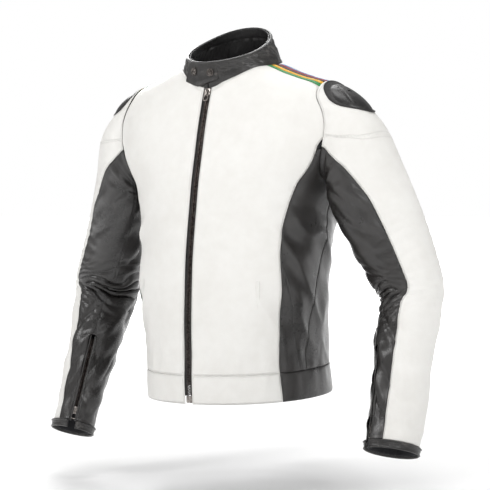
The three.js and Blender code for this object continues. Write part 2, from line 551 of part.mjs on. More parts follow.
// The pull hangs from a bar through the bail.
function pullSolid() {
  const top = BAIL_Z + PULL.bar / 2;
  const y0 = BAIL_Y - PULL.thickness / 2;
  const frame = block(-PULL.width / 2, PULL.width / 2, y0, y0 + PULL.thickness, top - PULL.length, top);
  const inner = PULL.width / 2 - 1.4;
  const hole = block(-inner, inner, y0 - 1, y0 + PULL.thickness + 1, BAIL_Z - 6.5, BAIL_Z - PULL.bar / 2);
  return frame.subtract(hole);
}
function mainSliderFrame() {
  const angle = arcAngle(SLIDER_Z);
  const radius = CHEST_RADIUS - TEETH_TOP;
  const out = vector(0, -Math.cos(angle), Math.sin(angle));
  const up = vector(0, Math.sin(angle), Math.cos(angle));
  const foot = vector(0, ARC_CENTRE.y, ARC_CENTRE.z).addScaledVector(out, radius);
  return new THREE.Matrix4().makeBasis(out.clone().cross(up), out, up).setPosition(foot);
}
const atMainSlider = (made) => placed(made, mainSliderFrame());

// ---------------------------------------------------------------- cuff zip
const CUFF_TAPE_HALF_WIDTH = 9;
const cuffTeethTop = -TEETH_TOP - 2.1;
const cuffTeethBottom = cuffTeethTop - TEETH_THICKNESS;
function cuffZipTape() {
  const tapeTop = cuffTeethTop - TEETH_THICKNESS / 2 + TAPE_THICKNESS / 2;
  const side = (sign) => {
    const [a, b, c] = [TEETH_SLIT, TEETH_HALF_WIDTH, CUFF_TAPE_HALF_WIDTH].map((x) => sign * x);
    const tape = block(Math.min(a, c), Math.max(a, c), tapeTop - TAPE_THICKNESS, tapeTop, 2, CUFF_ZIP_LENGTH - 2);
    return tape.add(block(Math.min(a, b), Math.max(a, b), cuffTeethBottom, cuffTeethTop, 2, CUFF_ZIP_LENGTH - 2));
  };
  const stop = block(-TEETH_HALF_WIDTH, TEETH_HALF_WIDTH, cuffTeethBottom, cuffTeethTop, CUFF_ZIP_LENGTH - 6, CUFF_ZIP_LENGTH - 2);
  return atCuffZip(side(-1).add(side(1)).add(stop));
}
const CUFF_SLIDER_AT = 10;
const atCuffSlider = (made) =>
  atCuffZip(placed(made, new THREE.Matrix4().makeTranslation(0, cuffTeethTop, CUFF_SLIDER_AT)));

// ---------------------------------------------------------------- protection
// The moulded cap stands on the shoulder, with a broad inner end and a pointed outer end.
const CAP_OUTLINE = [[198, -22], [212, -38], [232, -34], [256, -12], [276, 18], [262, 46], [236, 60], [208, 52], [196, 30]];
const CAP_TOP_Z = -140;
function shoulderCap() {
  const face = (inset, reach) => bodySolid(inset, BODY_SLICES, reach).add(sleeveSolid(inset, SLEEVE_SLICES));
  const wall = face(-CAP_THICKNESS, 0).subtract(face(-FIT - 0.3, 20));
  const outline = new THREE.SplineCurve([...CAP_OUTLINE, CAP_OUTLINE[0]].map(([a, b]) => new THREE.Vector2(a, b)));
  const ring = outline.getPoints(26).slice(0, -1).map((p) => [p.x, p.y]);
  return wall.intersect(topView(ring, CAP_TOP_Z, 200));
}
// The forearm lining hangs just clear of the leather.
const FOREARM_LINING_INSET = LEATHER + 0.8;
// The elbow protector lies in the back of the forearm, inside the lining.
const PROTECTOR_INSET = FOREARM_LINING_INSET + LINING + FIT + 0.05;
const PROTECTOR = { from: 7.15, to: 8.3, fromAngle: -70, toAngle: 30 };
function elbowProtector() {
  const wall = sleeveSolid(PROTECTOR_INSET, SLEEVE_SLICES)
    .subtract(sleeveHollow(PROTECTOR_INSET + PROTECTOR_THICKNESS, SLEEVE_SLICES));
  const { from, to, fromAngle, toAngle } = PROTECTOR;
  return wall.intersect(sleeveWedge(from, to, () => fromAngle, () => toAngle));
}

// ---------------------------------------------------------------- linings
const LINING_SLICES = 18;
const liningTop = topView(ellipse(0, NECK_CENTRE_Y, NECK_HALF_WIDTH + 4, NECK_HALF_DEPTH + 4, 24), -150, 300);
function bodyLining() {
  const upperSteps = [0, 1, 1.5, 2, 3, 4, upperEnd - 0.05];
  const solidAt = (inset, below, steps, ease) => {
    const sleeve = sleeveSolid(inset, SLEEVE_SLICES / 2, steps, ease);
    return bodySolid(inset, LINING_SLICES, below).add(sleeve).add(mirrored(sleeve));
  };
  const outer = solidAt(LINING_INSET, 0, upperSteps, EASE).intersect(level(WAIST_Z + 2, 100));
  const inner = solidAt(LINING_INSET + LINING, 30, [...upperSteps, 6], 2 * EASE);
  return outer.subtract(inner).subtract(liningTop).subtract(liningSlit);
}
const FRONT_OPENING = TAPE_HALF_WIDTH + 3;
const liningSlit = topView(rectangle(-FRONT_OPENING, FRONT_OPENING, -FAR, 0), -2 * FAR, 3 * FAR);
function forearmLining() {
  const inner = sleeveHollow(FOREARM_LINING_INSET + LINING, SLEEVE_SLICES);
  const wall = sleeveSolid(FOREARM_LINING_INSET, SLEEVE_SLICES).subtract(inner);
  return wall.intersect(sleeveSection(forearmStart + 0.02, forearmEnd - 0.02)).subtract(cuffLiningSlot);
}
const cuffLiningSlot = atCuffZip(block(-CUFF_TAPE_HALF_WIDTH - 1, CUFF_TAPE_HALF_WIDTH + 1, -14, 10, -60, CUFF_ZIP_LENGTH + 2));

// A strap across the back of the neck, with its ends just clear of the collar's lining.
const LOOP = { halfWidth: 28, height: 6, thickness: 1.2, clear: 0.4, stand: 2, bend: 4 };
const LOOP_SHARE = 0.13; // of the collar's height, at the strap's top edge
function hangerLoop() {
  const { halfWidth, height, thickness, clear, stand, bend } = LOOP;
  const inset = liningInset + COLLAR_LINING;
  const wallWidth = NECK_HALF_WIDTH - COLLAR_LEAN * LOOP_SHARE - inset;
  const end = collarPoint(Math.acos(halfWidth / wallWidth) / (2 * Math.PI), LOOP_SHARE, inset).y - clear;
  const middle = end - stand;
  const outline = [
    [-halfWidth, end - thickness], [-halfWidth + bend, middle - thickness],
    [halfWidth - bend, middle - thickness], [halfWidth, end - thickness],
    [halfWidth, end], [halfWidth - bend, middle], [-halfWidth + bend, middle], [-halfWidth, end],
  ];
  return topView(outline, 2, height);
}

// ---------------------------------------------------------------- the jacket
const material = (color, roughness, metalness = 0) => new THREE.MeshStandardMaterial({ color, roughness, metalness });
const WHITE = material(0xe9e8e3, 0.5);
const BLACK = material(0x3d3936, 0.45);
const CLOTH = material(0x222222, 0.9);
const METAL = material(0x5a534e, 0.35, 1);
const MOULDED = material(0x1c1b1a, 0.25);
const FOAM = material(0x3a3f46, 0.9);
const STRIPES = [["green", 0x0f9a44], ["yellow", 0xf3b518], ["black", 0x2a2422], ["red", 0xb5202c], ["blue", 0x3f6fb0]];

const jacket = new THREE.Group();
const leftSide = new THREE.Group();
const rightSide = new THREE.Group();
rightSide.scale.x = -1;
jacket.add(leftSide, rightSide);

function add(parent, name, made, look) {
  const mesh = new THREE.Mesh(geometryOf(made), look);
  mesh.name = name;
  parent.add(mesh);
}
function addPair(name, made, look) {
  add(leftSide, name + "_left", made, look);
  add(rightSide, name + "_right", made, look);
}

addPair("front_panel", leftPart(aboveWaist, outlines.front, ZIP_GAP), WHITE);
addPair("side_panel_front", leftPart(aboveWaist, outlines.sideFront), BLACK);
addPair("side_panel_back", leftPart(aboveWaist, outlines.sideBack), BLACK);
add(jacket, "back_panel", aboveWaist.intersect(sideView(outlines.back, -FAR, FAR)), WHITE);
STRIPES.forEach(([name, color], i) => addPair("shoulder_stripe_" + name, stripe(i), material(color, 0.5)));
addPair("waistband_front", leftPart(belowWaist, outlines.front, ZIP_GAP), WHITE);
addPair("waistband_side", leftPart(belowWaist, outlines.side), BLACK);
add(jacket, "waistband_back", belowWaist.intersect(sideView(outlines.back, -FAR, FAR)), BLACK);
addPair("pocket_welt", pocketWelt(), WHITE);

addPair("sleeve_upper_outer", whiteSide(0, upperEnd), WHITE);
addPair("sleeve_upper_inner", sleeveShell.intersect(blackSide(0, upperEnd)), BLACK);
addPair("sleeve_elbow", sleeveShell.intersect(sleeveSection(ABOVE_ELBOW + RING_GAP, BELOW_ELBOW - RING_GAP)), BLACK);
addPair("forearm_outer", whiteSide(forearmStart, forearmEnd), WHITE);
addPair("forearm_inner", sleeveShell.intersect(blackSide(forearmStart, forearmEnd)).subtract(cuffSlot), BLACK);
addPair("cuff_band", cuffBand(), BLACK);

add(jacket, "collar_band", collarBand, BLACK);
add(jacket, "collar_lining", collarLining, CLOTH);
add(jacket, "collar_tab", collarTab().subtract(bodySolid(-2 * FIT, BODY_SLICES)), BLACK);
add(jacket, "snap_cap_outer", snapCap(SNAP_XS.outer), METAL);
add(jacket, "snap_cap_inner", snapCap(SNAP_XS.inner), METAL);
add(jacket, "hanger_loop", hangerLoop(), CLOTH);

addPair("zip_tape", zipTape(), METAL);
add(jacket, "zip_slider", atMainSlider(sliderSolid(TEETH_THICKNESS)), METAL);
add(jacket, "zip_pull", atMainSlider(pullSolid()), METAL);
add(jacket, "zip_bottom_box", bottomBox(), METAL);
addPair("cuff_zip_tape", cuffZipTape(), METAL);
addPair("cuff_zip_slider", atCuffSlider(sliderSolid(TEETH_THICKNESS)), METAL);
addPair("cuff_zip_pull", atCuffSlider(pullSolid()), METAL);

addPair("shoulder_cap", shoulderCap(), MOULDED);
addPair("elbow_protector", elbowProtector(), FOAM);
add(jacket, "body_lining", bodyLining(), CLOTH);
addPair("forearm_lining", forearmLining(), CLOTH);

export default jacket;
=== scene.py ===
# The looks of a leather riding jacket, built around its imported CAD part.
# Lengths are in millimetres until a mesh is made.
import math

import bmesh
import bpy
import numpy as np
from mathutils import Matrix, Vector
from mathutils.bvhtree import BVHTree

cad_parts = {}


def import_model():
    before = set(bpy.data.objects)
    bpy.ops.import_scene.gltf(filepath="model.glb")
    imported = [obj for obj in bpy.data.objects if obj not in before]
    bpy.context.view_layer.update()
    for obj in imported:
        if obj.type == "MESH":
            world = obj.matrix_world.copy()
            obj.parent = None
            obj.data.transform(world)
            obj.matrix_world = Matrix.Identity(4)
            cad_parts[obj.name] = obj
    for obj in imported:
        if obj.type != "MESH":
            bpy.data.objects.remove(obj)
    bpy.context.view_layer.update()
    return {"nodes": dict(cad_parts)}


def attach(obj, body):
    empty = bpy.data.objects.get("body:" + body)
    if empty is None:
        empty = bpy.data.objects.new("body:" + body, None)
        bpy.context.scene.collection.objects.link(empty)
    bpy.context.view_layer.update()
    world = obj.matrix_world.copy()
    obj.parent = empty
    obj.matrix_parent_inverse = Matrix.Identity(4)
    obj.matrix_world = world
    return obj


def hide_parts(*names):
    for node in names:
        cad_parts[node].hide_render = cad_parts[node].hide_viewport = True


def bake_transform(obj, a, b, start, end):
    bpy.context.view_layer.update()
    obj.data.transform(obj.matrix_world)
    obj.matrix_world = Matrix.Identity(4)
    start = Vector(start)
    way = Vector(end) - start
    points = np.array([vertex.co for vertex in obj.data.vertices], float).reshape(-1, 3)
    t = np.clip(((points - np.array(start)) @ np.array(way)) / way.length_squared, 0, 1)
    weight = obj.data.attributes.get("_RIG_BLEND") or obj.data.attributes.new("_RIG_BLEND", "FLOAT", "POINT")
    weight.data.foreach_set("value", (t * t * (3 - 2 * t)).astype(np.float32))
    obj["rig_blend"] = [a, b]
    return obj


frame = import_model()

MM = 0.001

# ---------------------------------------------------------------- camera, lights and floor
TARGET = Vector((0, 0, -0.3))
CAMERA_TURN = math.radians(36)
CAMERA_RISE = math.radians(3.967)
CAMERA_ROLL = math.radians(-2.5)
CAMERA_DISTANCE = 4.239


def make_camera():
    back = Vector((
        math.sin(CAMERA_TURN) * math.cos(CAMERA_RISE),
        -math.cos(CAMERA_TURN) * math.cos(CAMERA_RISE),
        math.sin(CAMERA_RISE),
    ))
    right = Vector((math.cos(CAMERA_TURN), math.sin(CAMERA_TURN), 0))
    up = back.cross(right)
    across = right * math.cos(CAMERA_ROLL) + up * math.sin(CAMERA_ROLL)
    above = up * math.cos(CAMERA_ROLL) - right * math.sin(CAMERA_ROLL)
    data = bpy.data.cameras.new("camera")
    data.lens = 178.5
    data.sensor_width = 36
    data.shift_x = 0.0138
    data.shift_y = -0.0254
    data.clip_end = 60
    camera = bpy.data.objects.new("camera", data)
    camera.matrix_world = Matrix.Translation(TARGET + back
            * CAMERA_DISTANCE) @ Matrix((across, above, back)).transposed().to_4x4()
    bpy.context.collection.objects.link(camera)
    bpy.context.scene.camera = camera


def add_light(name, at, size, power, aim=(0, 0, -0.3)):
    data = bpy.data.lights.new(name, "AREA")
    data.shape = "DISK"
    data.size = size
    data.energy = power
    light = bpy.data.objects.new(name, data)
    light.location = at
    light.rotation_euler = (Vector(aim) - Vector(at)).to_track_quat("-Z", "Y").to_euler()
    bpy.context.collection.objects.link(light)


def make_surroundings():
    world = bpy.data.worlds.new("studio")
    world.use_nodes = True
    tree = world.node_tree
    soft = tree.nodes["Background"]
    soft.inputs["Strength"].default_value = 0.34
    soft.inputs["Color"].default_value = (1, 1, 1, 1)
    pale = tree.nodes.new("ShaderNodeBackground")
    pale.inputs["Color"].default_value = (1, 1, 1, 1)
    mix = tree.nodes.new("ShaderNodeMixShader")
    tree.links.new(tree.nodes.new("ShaderNodeLightPath").outputs["Is Camera Ray"], mix.inputs["Fac"])
    tree.links.new(soft.outputs["Background"], mix.inputs[1])
    tree.links.new(pale.outputs["Background"], mix.inputs[2])
    tree.links.new(mix.outputs["Shader"], tree.nodes["World Output"].inputs["Surface"])
    bpy.context.scene.world = world
    mesh = bpy.data.meshes.new("floor")
    mesh.from_pydata([(-6, -6, -0.74), (6, -6, -0.74), (6, 6, -0.74), (-6, 6, -0.74)], [], [[0, 1, 2, 3]])
    floor = bpy.data.objects.new("floor", mesh)
    bpy.context.collection.objects.link(floor)
    m = Nodes("floor")
    away = m.node("VectorMath", {0: m.place()}, operation="LENGTH").outputs["Value"]
    m.look(Base_Color=(0.93, 0.93, 0.93, 1), Roughness=0.9)
    m.shader.inputs["Emission Color"].default_value = (1, 1, 1, 1)
    m.set(m.shader.inputs["Emission Strength"], m.ramp(away, 1.0, 3.2))
    material = m.material
    mesh.materials.append(material)


# ---------------------------------------------------------------- curves and fields, as in the CAD part
BODY_LENGTH = 579
HEM_Z = -BODY_LENGTH
WAIST_Z = HEM_Z + 49
ARMPIT_Z = -215
CHEST_RADIUS = 1550
ARC_Y = CHEST_RADIUS - 165
LEATHER = 1.4


def smooth(pairs, x):
    """A smooth curve through [position, value] pairs."""
    pairs = np.asarray(pairs, float)
    at, value = pairs[:, 0], pairs[:, 1]
    slope = np.empty(len(at))
    slope[1:-1] = (value[2:] - value[:-2]) / (at[2:] - at[:-2])
    slope[0] = (value[1] - value[0]) / (at[1] - at[0])
    slope[-1] = (value[-1] - value[-2]) / (at[-1] - at[-2])
    x = np.clip(np.asarray(x, float), at[0], at[-1])
    i = np.clip(np.searchsorted(at, x, side="right") - 1, 0, len(at) - 2)
    h = at[i + 1] - at[i]
    t = (x - at[i]) / h
    start = (2 * t**3 - 3 * t**2 + 1) * value[i] + (t**3 - 2 * t**2 + t) * h * slope[i]
    return start + (3 * t**2 - 2 * t**3) * value[i + 1] + (t**3 - t**2) * h * slope[i + 1]


def smoothstep(x, low, high):
    t = np.clip((np.asarray(x, float) - low) / (high - low), 0, 1)
    return t * t * (3 - 2 * t)


def bump(x, centre, width):
    """A bell of height 1."""
    return np.exp(-(((x - centre) / width) ** 2))


def fall(share):
    return ARMPIT_Z + share * (HEM_Z - ARMPIT_Z)


STATIONS = [
    (fall(1.13), 163, 132, 2.15), (fall(1), 162, 132, 2.15), (fall(0.79), 158, 130, 2.15), (fall(0.65), 163, 121, 2.15),
    (fall(0.52), 170, 117, 2.2), (fall(0.38), 174, 123, 2.2), (fall(0.17), 178, 141, 2.3), (ARMPIT_Z, 192, 147, 2.4),
    (-190, 209, 148, 2.4), (-155, 231, 146, 2.4), (-115, 238, 140, 2.45), (-90, 235, 134, 2.5), (-40, 225, 112, 2.5),
    (30, 215, 80, 2.5),
]
SHOULDER_LINE = [[0, 4], [60, -1], [90, -8], [120, -20], [160, -33], [200, -43], [240, -60], [300, -95]]
ARMHOLE = [[-260, 182], [-215, 193.5], [-190, 201], [-155, 212], [-115, 217], [-90, 212], [-62, 198], [-30, 196]]


def station(column, z):
    return smooth([(row[0], row[column]) for row in STATIONS], z)


def front_at(z):
    return ARC_Y - np.sqrt(CHEST_RADIUS**2 - (z - HEM_Z) ** 2)


def body_field(p):
    x, y, z = p[..., 0], p[..., 1], p[..., 2]
    front, back, power = front_at(z), station(2, z), station(3, z)
    middle = (front + back) / 2
    across = np.abs(x / station(1, z)) ** power
    along = np.abs((y - middle) / ((back - front) / 2)) ** power
    reach = np.maximum((across + along) ** (1 / power), 1e-6)
    side = np.hypot(x, y - middle) * (1 - 1 / reach)
    top = (z - smooth(SHOULDER_LINE, np.abs(x)) + (y - 8) ** 2 / 260) / math.hypot(1, 0.37)
    size = 12 + 33 * smoothstep(np.abs(x), 0, 100)
    share = np.clip(0.5 - 0.5 * (top - side) / size, 0, 1)
    return top + (side - top) * share + size * share * (1 - share)


def reach(point_at, inset, furthest, count):
    near, far = np.zeros(count), np.full(count, float(furthest))
    for _ in range(24):
        middle = (near + far) / 2
        inside = body_field(point_at(middle)) < -inset
        near = np.where(inside, middle, near)
        far = np.where(inside, far, middle)
    return near


SLEEVE_START = -155
FOREARM = np.array([11.5, -93.7, -220.0])
FOREARM /= np.linalg.norm(FOREARM)
FOREARM_LENGTH = 280
ELBOW = np.array([329.0, 38, -400])


def forearm_point(distance):
    return ELBOW + np.array([1.0, -9, -29]) + FOREARM * (distance - 31)


SLEEVE = [
    (np.array([241.0, 12, -170]), 55, 0, 74, 57, -10), (np.array([262.0, 17, -225]), 24, -3, 68, 51, -36),
    (np.array([296.0, 27, -310]), 20, -7, 63.6, 51.2, -36), (ELBOW + [-10, -3, 30], 14, -2, 57, 57, -36),
    (ELBOW, 10, 5, 51.5, 58, -36), (forearm_point(31), 6, 14, 51.5, 54, -36),
    (forearm_point(0.39 * FOREARM_LENGTH), 3, 23, 48.7, 46.5, -36),
            (forearm_point(0.7 * FOREARM_LENGTH), 3, 23, 46.3, 38.5, -36),
    (forearm_point(FOREARM_LENGTH), 3, 23, 43.5, 34.5, -36), (forearm_point(FOREARM_LENGTH + 45), 3, 23, 42, 34, -36),
]
RING_DISTANCE = [[0, -25], [1, 0], [2, 60], [3, 119], [4, 209], [5, 273], [6, 305], [7, 336], [8, 414],
        [9, 501], [10, 585], [11, 630]]
FRONT_SEAM = [[0, 117], [1, 117], [2, 93], [2.5, 80], [3.5, 61], [5, 61], [6, 66], [7, 77], [8, 80], [10, 85], [11, 85]]
BACK_SEAM = [[0, 242], [1, 242], [3, 250], [11, 250]]
FOREARM_RINGS = [[31, 7], [0.39 * FOREARM_LENGTH, 8], [0.7 * FOREARM_LENGTH, 9], [FOREARM_LENGTH, 10]]
CUFF_RING = float(smooth(FOREARM_RINGS, FOREARM_LENGTH - 26))
ROLL_RING = float(smooth(FOREARM_RINGS, FOREARM_LENGTH - 15))


def sleeve_controls(angle, inset, ease=25):
    """Control points down the sleeve for each angle in degrees: an array of 12 by angles by 3."""
    a = np.radians(angle)

    def along(distance):
        z = -125 + distance * np.cos(a)
        return np.stack([smooth(ARMHOLE, z), 8 - distance * np.sin(a), z], -1)

    seam = along(reach(along, inset, 150, len(a)))
    rows = [seam - [ease, 0, 0], seam]
    for at, lift, tip, wide, narrow, turn in SLEEVE:
        lift, tip, turned = math.radians(lift), math.radians(tip), a - math.radians(turn)
        radius = 1 / np.hypot(np.cos(turned) / wide, np.sin(turned) / narrow) - inset
        outer = np.outer(np.cos(a), [math.cos(lift), 0, math.sin(lift)])
        front = np.outer(np.sin(a), [0, -math.cos(tip), math.sin(tip)])
        rows.append(at + (outer + front) * radius[:, None])
    return np.array(rows)


def sleeve_at(ring, angle, inset=0.0):
    """Points of the left sleeve at arrays of ring numbers and angles."""
    ring, angle = np.broadcast_arrays(np.asarray(ring, float), np.asarray(angle, float))
    whole = np.linspace(-180, 360, 361)
    controls = sleeve_controls(whole, inset)
    controls = np.concatenate([2 * controls[:1] - controls[1:2], controls, 2 * controls[-1:] - controls[-2:-1]])
    k = np.clip(np.floor(ring).astype(int), 0, len(controls) - 4)
    t = (ring - k)[..., None]
    slot = (angle + 180) / 1.5
    low = np.clip(np.floor(slot).astype(int), 0, len(whole) - 2)
    share = (slot - low)[..., None]
    p = [controls[k + j, low] * (1 - share) + controls[k + j, low + 1] * share for j in range(4)]
    return 0.5 * (2 * p[1] + (p[2] - p[0]) * t + (2 * p[0] - 5 * p[1] + 4 * p[2] - p[3]) * t**2
            + (3 * p[1] - p[0] - 3 * p[2] + p[3]) * t**3)


def lattice(p, seed):
    """Smooth noise from -1 to 1 at points in cells."""
    cell = np.floor(p).astype(np.int64)
    f = p - cell
    f = f * f * (3 - 2 * f)
    total = 0
    for corner in np.ndindex(2, 2, 2):
        c = cell + corner
        h = (c[..., 0] * 73856093) ^ (c[..., 1] * 19349663) ^ (c[..., 2] * 83492791) ^ (seed * 2654435761)
        h = (h ^ (h >> 13)) * 1274126177
        value = ((h ^ (h >> 16)) & 0xFFFF) / 32767.5 - 1
        weight = np.prod([f[..., i] if corner[i] else 1 - f[..., i] for i in range(3)], axis=0)
        total = total + value * weight
    return total


def noise(p, size, seed, octaves=2):
    p = np.asarray(p, float) / size
    return sum(lattice(p * 2**o + 17.3 * o, seed + o) / 2**o for o in range(octaves))


# ---------------------------------------------------------------- sheets of faces
class Sheet:
    """Points with their normals, undisplaced places and two surface coordinates, and faces of any length."""

    def __init__(self, points, normals, base, coords, faces):
        self.data = np.hstack([points, normals, base, coords])
        self.faces = faces

    points = property(lambda self: self.data[:, 0:3])
    normals = property(lambda self: self.data[:, 3:6])
    base = property(lambda self: self.data[:, 6:9])
    coords = property(lambda self: self.data[:, 9:11])

    def clipped(self, field):
        """The part where field(sheet) is above 0, cut on its zero line."""
        values = field(self)
        keep = values > 0
        rows, at = [], {}
        faces = []

        def kept(i):
            if i not in at:
                at[i] = len(rows)
                rows.append(self.data[i])
            return at[i]

        def crossing(i, j):
            i, j = min(i, j), max(i, j)
            if (i, j) not in at:
                share = values[i] / (values[i] - values[j])
                at[i, j] = len(rows)
                rows.append(self.data[i] * (1 - share) + self.data[j] * share)
            return at[i, j]

        flags = keep.tolist()
        for face in self.faces:
            inside = [flags[i] for i in face]
            if not any(inside):
                continue
            if all(inside):
                faces.append([kept(i) for i in face])
                continue
            made = []
            for n, i in enumerate(face):
                j = face[(n + 1) % len(face)]
                if flags[i]:
                    made.append(kept(i))
                if flags[i] != flags[j]:
                    made.append(crossing(i, j))
            if len(made) > 2:
                faces.append(made)
        out = Sheet.__new__(Sheet)
        out.data, out.faces = np.array(rows), faces
        return out

    def mirrored(self):
        out = Sheet.__new__(Sheet)
        out.data = self.data * ([-1, 1, 1] * 3 + [1, 1])
        out.faces = [face[::-1] for face in self.faces]
        return out


def grid_faces(rows, columns, closed):
    """Faces of a grid of rows by columns."""
    last = columns if closed else columns - 1
    return [
        [r * columns + c, r * columns + (c + 1) % columns, (r + 1) * columns + (c + 1) % columns, (r + 1) * columns + c]
        for r in range(rows - 1) for c in range(last)
    ]


def grid_normals(p, closed):
    """Outward normals of a rows by columns by 3 grid, whose columns run anticlockwise seen from above the rows."""
    down = np.gradient(p, axis=0)
    if closed:
        along = np.roll(p, -1, 1) - np.roll(p, 1, 1)
    else:
        along = np.gradient(p, axis=1)
    n = np.cross(along, down)
    return n / np.maximum(np.linalg.norm(n, axis=-1, keepdims=True), 1e-9)


def sheet_of(base, coords, closed, displace=None):
    rows, columns = base.shape[:2]
    normals = grid_normals(base, closed)
    points = base if displace is None else base + normals * displace(base, coords)[..., None]
    if displace is not None:
        normals = grid_normals(points, closed)
    flat = lambda a: a.reshape(-1, a.shape[-1])
    return Sheet(flat(points), flat(normals), flat(base), flat(coords), grid_faces(rows, columns, closed))


# ---------------------------------------------------------------- materials
def mesh_object(name, points, faces, material, smooth_shade=True, attributes=None):
    mesh = bpy.data.meshes.new(name)
    mesh.from_pydata((np.asarray(points) * MM).tolist(), [], [list(map(int, f)) for f in faces])
    mesh.validate()
    if smooth_shade:
        mesh.polygons.foreach_set("use_smooth", [True] * len(mesh.polygons))
    for key, values in (attributes or {}).items():
        mesh.attributes.new(key, "FLOAT", "POINT").data.foreach_set("value", np.asarray(values, np.float32))
    obj = bpy.data.objects.new(name, mesh)
    bpy.context.collection.objects.link(obj)
    mesh.materials.append(material)
    return obj


class Nodes:
    """A short way to wire a material."""

    def __init__(self, name):
        self.material = bpy.data.materials.new(name)
        self.material.use_nodes = True
        self.tree = self.material.node_tree
        self.shader = self.tree.nodes["Principled BSDF"]

    def node(self, kind, inputs=None, **settings):
        made = self.tree.nodes.new("ShaderNode" + kind)
        for key, value in settings.items():
            setattr(made, key, value)
        for key, value in (inputs or {}).items():
            self.set(made.inputs[key], value)
        return made

    def set(self, socket, value):
        if isinstance(value, bpy.types.NodeSocket):
            self.tree.links.new(value, socket)
        else:
            socket.default_value = value

    def place(self):
        return self.node("TexCoord").outputs["Object"]

    def noise(self, scale, detail=3, rough=0.5, vector=None, distortion=0.0):
        inputs = {"Vector": vector or self.place(), "Scale": scale, "Detail": detail, "Roughness": rough,
                "Distortion": distortion}
        return self.node("TexNoise", inputs).outputs["Fac"]

    def cells(self, scale, feature="DISTANCE_TO_EDGE", vector=None):
        return self.node("TexVoronoi", {"Vector": vector or self.place(), "Scale": scale},
                feature=feature).outputs["Distance"]

    def math(self, operation, a, b=0.0):
        made = self.node("Math", operation=operation)
        self.set(made.inputs[0], a)
        self.set(made.inputs[1], b)
        return made.outputs[0]

    def ramp(self, value, low, high, out_low=0.0, out_high=1.0):
        inputs = {"Value": value, "From Min": low, "From Max": high, "To Min": out_low, "To Max": out_high}
        return self.node("MapRange", inputs, interpolation_type="SMOOTHSTEP").outputs["Result"]

    def mix(self, share, a, b):
        made = self.node("Mix", data_type="RGBA")
        self.set(made.inputs[0], share)
        self.set(made.inputs[6], a)
        self.set(made.inputs[7], b)
        return made.outputs[2]

    def attribute(self, name):
        return self.node("Attribute", attribute_name=name).outputs["Fac"]

    def bumps(self, *layers):
        """Bump layers of (height, distance in mm, strength), the first one lowest."""
        normal = None
        for height, distance, strength in layers:
            inputs = {"Height": height, "Distance": distance * MM, "Strength": strength}
            made = self.node("Bump", inputs)
            if normal is not None:
                self.tree.links.new(normal, made.inputs["Normal"])
            normal = made.outputs["Normal"]
        self.tree.links.new(normal, self.shader.inputs["Normal"])

    def look(self, **sockets):
        for key, value in sockets.items():
            self.set(self.shader.inputs[key.replace("_", " ")], value)
        return self.material


def stitches(m, offset=2.6):
    """Height of a thread line that runs beside each seam, sunk between its stitches."""
    edge = m.attribute("edge")
    line = m.ramp(m.math("ABSOLUTE", m.math("SUBTRACT", edge, offset)), 0.35, 0.75, 1.0, 0.0)
    xyz = m.node("SeparateXYZ", {"Vector": m.place()}).outputs
    run = m.math("ADD", m.math("ADD", xyz[0], xyz[1]), xyz[2])
    dash = m.ramp(m.math("SINE", m.math("MULTIPLY", run, 2 * math.pi / 0.0034)), -0.75, -0.3)
    return line, m.math("MULTIPLY", line, dash)


def leather(name, dark, light, roughness, grain, wear_and_sheen=0.0, stitch=True, seam_shade_factor=0.35, polish=0.0):
    m = Nodes(name)
    soft = m.noise(9, 4, 0.6)
    fine = m.noise(55, 3, 0.6)
    cloud = m.math("ADD", m.math("MULTIPLY", soft, 0.65), m.math("MULTIPLY", fine, 0.35))
    colour = m.mix(m.ramp(cloud, 0.3, 0.7), (*dark, 1), (*light, 1))
    pores = m.ramp(m.cells(900), 0.0, 0.12)
    creases = m.ramp(m.cells(70, vector=m.node("VectorMath",
            {0: m.place(), 1: m.node("TexNoise", {"Vector": m.place(), "Scale": 30.0}).outputs["Color"]},
                    operation="ADD").outputs[0]), 0.0, 0.05)
    rough = m.ramp(cloud, 0.3, 0.7, roughness - 0.07, roughness + 0.09)
    layers = [(m.noise(38, 4, 0.55), 1.2, 0.35 * grain), (creases, 0.2, 0.12 * grain), (pores, 0.12, 0.6 * grain)]
    if wear_and_sheen > 0:
        # Grey patches, partly real wear and partly painted sheen: a noise pattern lightens the colour towards grey.
        scuffs_and_sheen = m.ramp(m.noise(42, 6, 0.72, distortion=0.8), 0.55, 0.74)
        colour = m.mix(m.math("MULTIPLY", scuffs_and_sheen, wear_and_sheen), colour, (0.2, 0.185, 0.17, 1))
    if stitch:
        line, thread = stitches(m)
        edge = m.attribute("edge")
        hollow = m.ramp(edge, 0.0, 2.2)
        layers.append((hollow, 0.9, 0.8))
        layers.append((line, 0.5, -0.6))
        layers.append((thread, 0.5, 0.8))
        # Painted shade: the colour darkens in the rolled-in groove at each seam, and a little along the sunk stitch
        # line beside it.
        seam = m.ramp(edge, 0.0, 0.7, 0.55, 0.0)
        seam_shade_colour = tuple(seam_shade_factor * c for c in dark)
        colour = m.mix(seam, colour, (*seam_shade_colour, 1))
        colour = m.mix(m.math("MULTIPLY", line, 0.22), colour, (*seam_shade_colour, 1))
    m.bumps(*layers)
    m.shader.inputs["Coat Weight"].default_value = polish
    m.shader.inputs["Coat Roughness"].default_value = 0.3
    return m.look(Base_Color=colour, Roughness=rough)


def cloth(name, dark, light, scale=600):
    m = Nodes(name)
    xyz = m.node("SeparateXYZ", {"Vector": m.place()}).outputs
    wave = lambda a: m.math("SINE", m.math("MULTIPLY", a, scale * 2.0))
    weave = m.math("MULTIPLY", wave(m.math("ADD", xyz[0], xyz[1])), wave(xyz[2]))
    colour = m.mix(m.ramp(m.noise(25, 4), 0.3, 0.7), (*dark, 1), (*light, 1))
    m.bumps((m.noise(60, 3), 0.8, 0.4), (weave, 0.2, 0.5))
    rough = m.ramp(m.noise(140, 2), 0.3, 0.7, 0.75, 0.95)
    m.look(Base_Color=colour, Roughness=rough)
    m.shader.inputs["Sheen Weight"].default_value = 0.25
    return m.material


